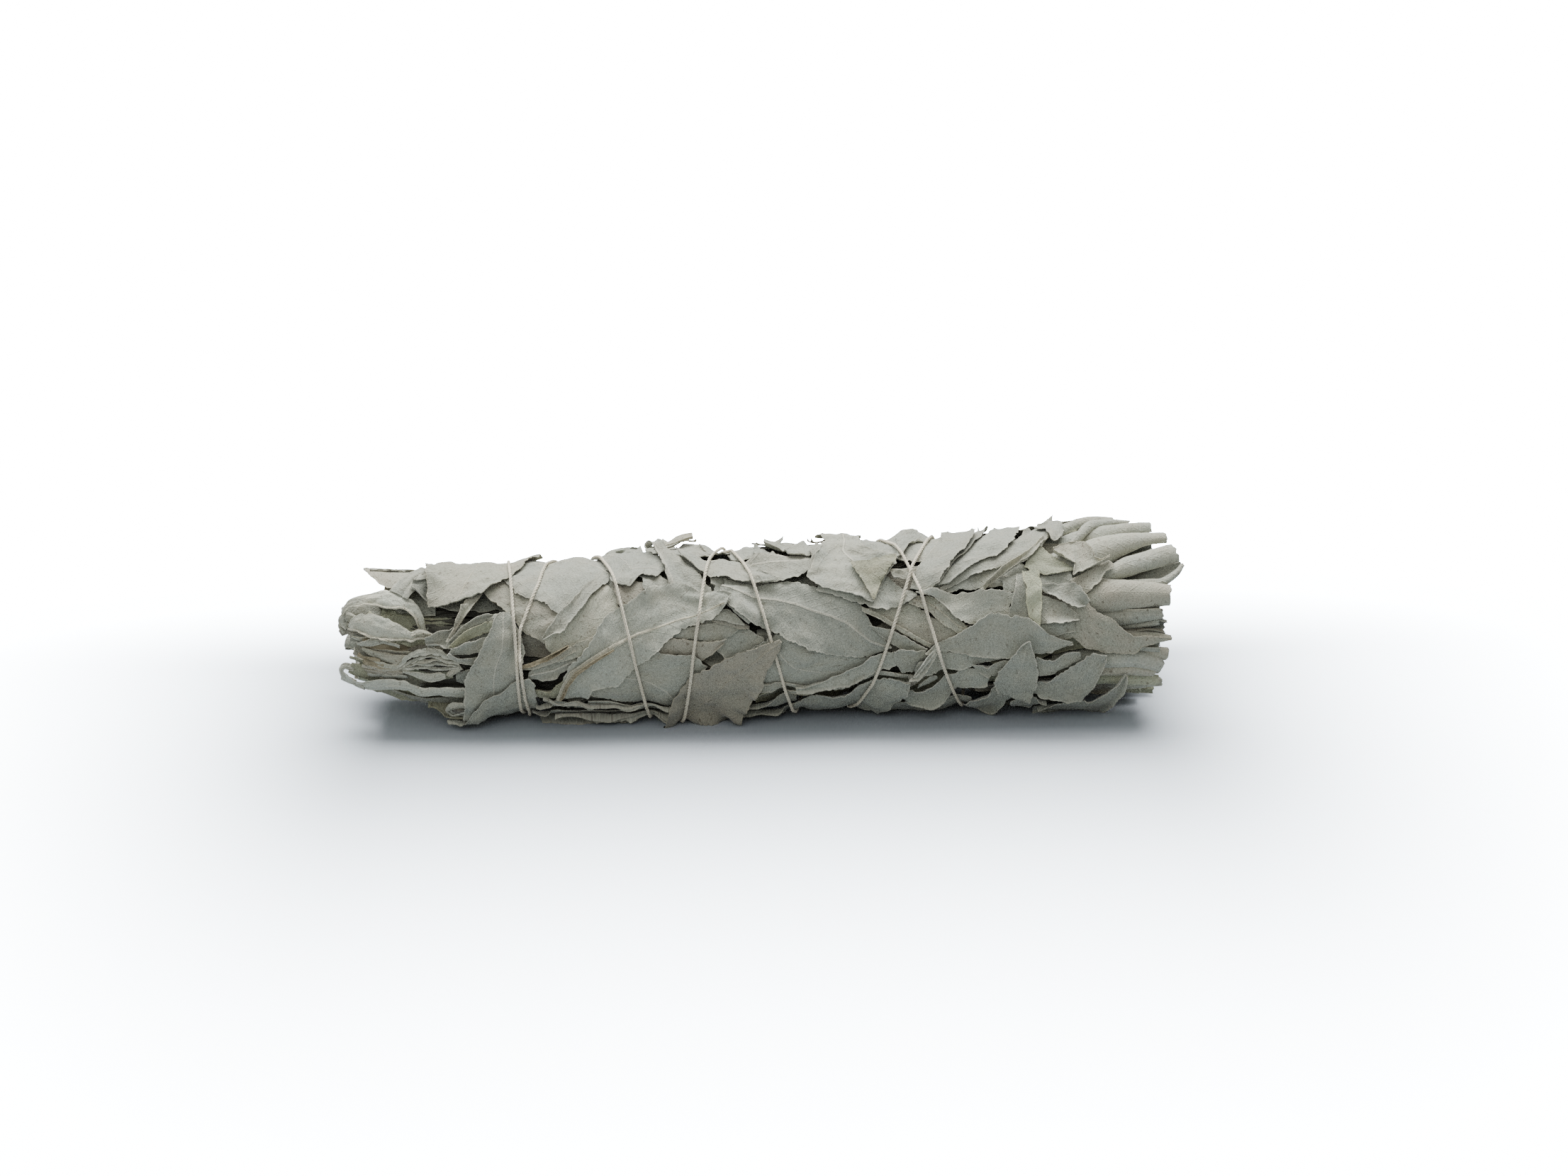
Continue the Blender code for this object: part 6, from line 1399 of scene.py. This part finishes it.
         (203.8, -3.2)), ((184, -35.5), (190, -38.8), (194, -40.8), (198.6, -40.4), (200.8, -30),
         (202.4, -18), (203.7, -6)), curl=(0.5, 0.6), torn=0.1, tone=0.3),
    Leaf("upright_point", ((175.5, -32), (174, -22), (174.8, -14), (176.5, -7), (178.5, -1),
         (181, 4.5), (183, 7.2)), ((184.4, -41), (185.7, -28), (186, -15), (185.1, -5), (184, 2),
         (183.3, 7)), torn=0.15, tone=0.5, rib=0.4),
)
REST_LEAVES = ((67.0, 22.0), (105.5, 26.0), (150.5, 24.0), (186.0, 24.0))
REST_WIDTH = 16.0
PLAN_SEED = 100
LAY_SEED = 500


def rest_leaves():
    """Short broad leaves underneath, which the stick's weight presses flat."""
    leaves = []
    for number, (middle_x, length) in enumerate(REST_LEAVES, 1):
        base, tip = (middle_x - length / 2, -88), (middle_x + length / 2, -92)
        edges = margins(base, tip, REST_WIDTH, 0, 0.5, 0.35)
        leaves.append(Leaf(f"leaf_rest_{number}", *edges, "grey", (0.2, 0.2), rib=0.5))
    return leaves


def wrap_leaves():
    """Lays every wrapped leaf in turn. A margin only curls up where no later leaf holds it."""
    leaves = back_leaves() + list(FRONT_LEAVES) + rest_leaves()
    plans = []
    # The last leaf laid at each place.
    last = np.full((MAP_ROWS, MAP_COLUMNS), -1)
    for order, leaf in enumerate(leaves):
        plan = leaf_plan(leaf, random.Random(PLAN_SEED + order))
        plans.append(plan)
        fine = between(np.stack([plan.x, plan.angle], -1), 3)
        last[map_cell(fine[..., 0], fine[..., 1])] = order
    last = widest(last, 2)
    for order, (leaf, plan) in enumerate(zip(leaves, plans)):
        shown = (last[map_cell(plan.x, plan.angle)] <= order).astype(float)
        for _ in range(2):
            shown = np.minimum(shown, neighbour_mean(shown))
        sheet = lay_leaf(leaf, plan, random.Random(LAY_SEED + order), shown)
        node = leaf.name if leaf.name.startswith("leaf_") else "leaf_" + leaf.name
        nodes = (node,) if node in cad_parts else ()
        name = node.replace("leaf_", "wrapped_leaf_", 1)
        make_piece(name, [sheet], nodes)


wrap_leaves()

# The binding: one undyed cotton thread of three plies, 0.95 mm thick, drawn tight round the
# stick. It sinks into the leaves. One leaf lies over its outgoing turns and is held by the
# returning ones. A knot at the back joins its two ends, which are cut off short.
THREAD = 0.95
THREAD_SINK = 0.3
THREAD_GAP = 0.1
PLIES = 3
PLY_RADIUS = 0.27
TWIST_PITCH = 3.2
TURN_POINTS = 11
KNOT_WIDTH = 2.4
TAILS = ((-1, 12.0), (1, 9.0))
FIBRE_CLUMP = 0.25
TAUT_PARTS = 80
TAUT_PASSES = 260
HELD_FREE_POINTS = 60
HELD_PLAN_SEED = 90
HELD_LAY_SEED = 91
HELD_LEAF = Leaf("leaf_brown_tip", ((86, -54), (87, -40), (89, -28), (91.5, -20), (93, -14),
                 (96, -6), (99, -1), (103, 3), (107, 7), (113, 11), (117, 13.5)), ((97, -64),
                 (104, -60), (107, -50), (108.2, -42), (110, -33), (111.8, -24), (113.5, -13),
                 (114.5, -6), (115.8, 1), (117.3, 7), (117.4, 12)), "brown", curl=(0.6, 0.5),
                 torn=0.15, tone=0.4, rib=0.8, rib_line=(-0.1, 0.0), tip_lift=0.1)


def cotton_finish(name, cream, shadow):
    """Undyed cotton: dull cream, with darker hollows between its clumps of fibres."""
    material, tree, shader = new_finish(name)
    place = add_node(tree, "ShaderNodeTexCoord").outputs["Object"]
    fibres = {"Vector": place, "Scale": 1 / (FIBRE_CLUMP * MM), "Detail": 3.0}
    fibres = add_node(tree, "ShaderNodeTexNoise", fibres).outputs["Fac"]
    share = {"Value": fibres, "From Min": 0.3, "From Max": 0.6}
    share = add_node(tree, "ShaderNodeMapRange", share).outputs["Result"]
    colour = {0: share, 6: linear(shadow), 7: linear(cream)}
    colour = add_node(tree, "ShaderNodeMix", colour, data_type="RGBA").outputs[2]
    tree.links.new(colour, shader.inputs["Base Color"])
    bump = {"Strength": 0.6, "Distance": 0.08 * MM, "Height": fibres}
    bump = add_node(tree, "ShaderNodeBump", bump).outputs["Normal"]
    tree.links.new(bump, shader.inputs["Normal"])
    shader.inputs["Roughness"].default_value = 0.9
    shader.inputs["Sheen Weight"].default_value = 0.3
    return material


def taut_line(route, start_radius=None):
    """A strand drawn tight over everything laid before it."""
    places = smooth_route(route, TAUT_PARTS)
    angle, x = places[:, 0], places[:, 1]
    base = core_radius(x, angle)
    need = base + read_map(widest(cover, 1), x, angle) + THREAD_GAP + THREAD / 2
    if start_radius:
        need[0] = start_radius
    radius = need.copy()
    flat = math.cos(math.radians(abs(angle[1] - angle[0])))
    for _ in range(TAUT_PASSES):
        radius[1:-1] = np.maximum(need[1:-1], (radius[:-2] + radius[2:]) / 2 * flat)
    return to_point(x, angle, radius), radius[-1]


def tube(points, radius, sides):
    """Rings of points round a line, and the faces between them with both ends closed."""
    heading = unit(np.gradient(points, axis=0))
    # Any first direction will do that isn't the line's own.
    aside = untwisted(heading, (0.3, 0.5, 0.8))
    up = np.cross(heading, aside)
    turn = (np.arange(sides) * 2 * math.pi / sides)[None, :, None]
    ring = np.cos(turn) * aside[:, None] + np.sin(turn) * up[:, None]
    rows = len(points)
    index = np.arange(rows * sides).reshape(rows, sides)
    after = np.roll(index, -1, axis=1)
    faces = np.stack([index[:-1], after[:-1], after[1:], index[1:]], -1).reshape(-1, 4).tolist()
    faces += [index[0, ::-1].tolist(), index[-1].tolist()]
    return (points[:, None] + radius * ring).reshape(-1, 3), faces


def plied(points):
    """Three plies wound round a line, as points and faces."""
    run = run_along(points)
    at = np.arange(0, run[-1], TWIST_PITCH / TURN_POINTS)
    line = places_at(at, run, points)
    heading = unit(np.gradient(line, axis=0))
    out = square_to(outward(line), heading)
    aside = np.cross(heading, out)
    all_points, all_faces, count = [], [], 0
    for ply in range(PLIES):
        turn = (2 * math.pi * (at / TWIST_PITCH + ply / PLIES))[:, None]
        strand = line + (THREAD / 2 - PLY_RADIUS) * (np.cos(turn) * out + np.sin(turn) * aside)
        ply_points, faces = tube(strand, PLY_RADIUS, 5)
        all_points.append(ply_points)
        all_faces += [[corner + count for corner in face] for face in faces]
        count += len(ply_points)
    return np.concatenate(all_points), all_faces


def knot_lines(strand):
    """The line of the knot, over and under itself, and those of the two tails that leave it."""
    centre = (strand[0] + strand[-1]) / 2
    _, angle, radius = from_point(centre)
    x = float(centre[0])
    turn = np.linspace(0, 2 * math.pi, 90)
    loop_x = (np.sin(turn) + 2 * np.sin(2 * turn)) / 3 * KNOT_WIDTH
    loop_round = (np.cos(turn) - 2 * np.cos(2 * turn)) / 3 * KNOT_WIDTH * 0.8
    loop_out = -np.sin(3 * turn) * 0.55 + 0.9
    around = angle + np.degrees(loop_round / radius)
    lines = [to_point(x + loop_x, around, radius + loop_out)]
    for way, reach in TAILS:
        tail_x = x + way * np.linspace(0, reach, 30)
        tail_angle = angle + np.linspace(0, 16, 30)
        lie = core_radius(tail_x, tail_angle) + read_map(widest(cover, 1), tail_x, tail_angle) + 0.2
        lie = np.maximum.accumulate(lie[::-1])[::-1]
        lie[:6] = np.linspace(radius + 1.2, lie[6], 6)
        lines.append(to_point(tail_x, tail_angle, lie))
    return lines


def make_binding():
    """The thread, and the one leaf that it holds between its outgoing and returning turns."""
    out_line, out_end = taut_line(ROUTE_OUT)
    # The held leaf lies over the outgoing turns, all but the end of the last one.
    x, angle, radius = from_point(out_line[:-HELD_FREE_POINTS])
    np.maximum.at(cover, map_cell(x, angle), radius - core_radius(x, angle) + THREAD / 2)
    plan = leaf_plan(HELD_LEAF, random.Random(HELD_PLAN_SEED))
    sheet = lay_leaf(HELD_LEAF, plan, random.Random(HELD_LAY_SEED))
    make_piece("wrapped_leaf_brown_tip", [sheet], ("leaf_brown_tip",))
    back_line, _ = taut_line(ROUTE_BACK, out_end)
    strand = pull_in(np.vstack([out_line, back_line[1:]]))
    strand = strand - THREAD_SINK * outward(strand)
    strand[:, 2] = np.maximum(strand[:, 2], THREAD / 2 + 0.05)
    points, faces = plied(strand)
    for line in knot_lines(strand):
        more, more_faces = plied(line)
        faces += [[corner + len(points) for corner in face] for face in more_faces]
        points = np.concatenate([points, more])
    mesh = bpy.data.meshes.new("plied_cotton_thread")
    mesh.from_pydata(((points - np.array([MIDDLE_X, 0, 0])) * MM).tolist(), [], faces)
    mesh.materials.append(cotton_finish("undyed_cotton_ply", "#d8d2bd", "#a89f88"))
    mesh.shade_smooth()
    thread = add_object("plied_cotton_thread", mesh)
    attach(thread, "root")
    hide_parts("cotton_thread")


make_binding()

# The table: a white studio sheet that the photograph shows burnt out to white on every side,
# and a pale bluish grey only close to the stick. The burning out is the photograph's, so the
# sheet's glow is for the eye alone and doesn't light the stick.
SHEET_SIZE = 6.0
SHADED_HALF_X = 0.1
SHADED_FRONT_Y = -0.02
SHADED_BACK_Y = 0.03
FADE_REACH = (0.055, 0.1, 0.025)
GLOW = 5.9
GLOW_POWER = 1.35


def make_table():
    """The sheet that the stick lies on, with its painted glow away from the stick.

    The grey left round the stick, where no glow is painted, is partly real shadow and partly
    painted shade.
    """
    mesh = bpy.data.meshes.new("studio_sheet")
    half = SHEET_SIZE / 2
    corners = [(-half, -half, 0), (half, -half, 0), (half, half, 0), (-half, half, 0)]
    mesh.from_pydata(corners, [], [(0, 1, 2, 3)])
    material, tree, shader = new_finish("matt_grey_sheet_painted_glow")
    sums = "ShaderNodeMath"
    place = add_node(tree, "ShaderNodeTexCoord").outputs["Object"]
    place = add_node(tree, "ShaderNodeSeparateXYZ", {"Vector": place}).outputs
    along = add_node(tree, sums, {0: place["X"]}, operation="ABSOLUTE").outputs[0]
    # How far outside the painted shade round the stick a place is, along each axis.
    beyond = {}
    for axis, value, start, reach in (
        ("X", along, SHADED_HALF_X, FADE_REACH[0]),
        ("Y", place["Y"], SHADED_FRONT_Y, -FADE_REACH[1]),
        ("Z", place["Y"], SHADED_BACK_Y, FADE_REACH[2]),
    ):
        share = {"Value": value, "From Min": start, "From Max": start + reach}
        share = add_node(tree, "ShaderNodeMapRange", share, clamp=False).outputs["Result"]
        beyond[axis] = add_node(tree, sums, {0: share, 1: 0.0}, operation="MAXIMUM").outputs[0]
    away = add_node(tree, "ShaderNodeCombineXYZ", beyond).outputs[0]
    away = add_node(tree, "ShaderNodeVectorMath", {0: away}, operation="LENGTH").outputs["Value"]
    glow = add_node(tree, sums, {0: away, 1: GLOW_POWER}, operation="POWER").outputs[0]
    seen = add_node(tree, "ShaderNodeLightPath").outputs["Is Camera Ray"]
    seen = add_node(tree, sums, {0: seen, 1: GLOW}, operation="MULTIPLY").outputs[0]
    glow = add_node(tree, sums, {0: glow, 1: seen}, operation="MULTIPLY").outputs[0]
    # Its own colour is a mid grey, darker than white paper, which deepens the shade round the
    # stick, and the painted glow whitens it further off.
    shader.inputs["Base Color"].default_value = linear("#a2a9af")
    shader.inputs["Emission Color"].default_value = linear("#e6eff6")
    tree.links.new(glow, shader.inputs["Emission Strength"])
    shader.inputs["Roughness"].default_value = 0.7
    shader.inputs["Specular IOR Level"].default_value = 0.2
    mesh.materials.append(material)
    add_object("studio_sheet", mesh)


make_table()

# The light: a soft box above and a little behind the stick, which leaves its front half in
# shade, a weak one in front, and a white room that is dim near the floor.
ROOM_LOW = 0.12
ROOM_HIGH = 0.95
TOP_LIGHT_WATTS = 22.0
FRONT_LIGHT_WATTS = 2.4
LIGHT_AIM = (0, 0, 0.02)


def make_light(name, place, size, watts):
    """A rectangular soft box that faces the middle of the stick."""
    light = bpy.data.lights.new(name, "AREA")
    light.shape = "RECTANGLE"
    light.size, light.size_y = size
    light.energy = watts
    lamp = add_object(name, light)
    lamp.location = place
    aim = np.array(LIGHT_AIM) - np.array(place)
    tilt = math.atan2(math.hypot(aim[0], aim[1]), -aim[2])
    lamp.rotation_euler = (tilt, 0, math.atan2(-aim[0], aim[1]))


world = bpy.data.worlds.new("white_room")
world.use_nodes = True
room = world.node_tree.nodes["Background"].inputs
room["Color"].default_value = (1.0, 1.0, 1.0, 1)
height = add_node(world.node_tree, "ShaderNodeTexCoord").outputs["Generated"]
height = add_node(world.node_tree, "ShaderNodeSeparateXYZ", {"Vector": height}).outputs["Z"]
brightness = {"Value": height, "To Min": ROOM_LOW, "To Max": ROOM_HIGH}
brightness = add_node(world.node_tree, "ShaderNodeMapRange", brightness).outputs["Result"]
world.node_tree.links.new(brightness, room["Strength"])
bpy.context.scene.world = world
make_light("top_soft_box", (0.02, 0.3, 0.85), (1.0, 0.5), TOP_LIGHT_WATTS)
make_light("front_soft_box", (-0.3, -0.9, 0.7), (0.8, 0.5), FRONT_LIGHT_WATTS)

# The camera: an 85 mm lens a metre off, 20 degrees above the table, with the thick end a
# little further away than the thin end.
LENS = 85.0
ELEVATION = 20.0
YAW = 2.9
DISTANCE = 1.004
AIM_X = 0.0068
AIM_UP = 0.0112

camera_data = bpy.data.cameras.new("studio_camera")
camera_data.lens = LENS
camera_data.sensor_width = 36.0
camera = add_object("studio_camera", camera_data)
swing, climb = math.radians(YAW), math.radians(ELEVATION)
level = math.cos(climb)
backward = np.array([-math.sin(swing) * level, -math.cos(swing) * level, math.sin(climb)])
right = np.array([math.cos(swing), -math.sin(swing), 0])
up = np.cross(backward, right)
target = np.array([0, 0, axis_height(MIDDLE_X) * MM]) + right * AIM_X + up * AIM_UP
camera.location = target + backward * DISTANCE
camera.rotation_euler = (math.pi / 2 - climb, 0, -swing)
bpy.context.scene.camera = camera
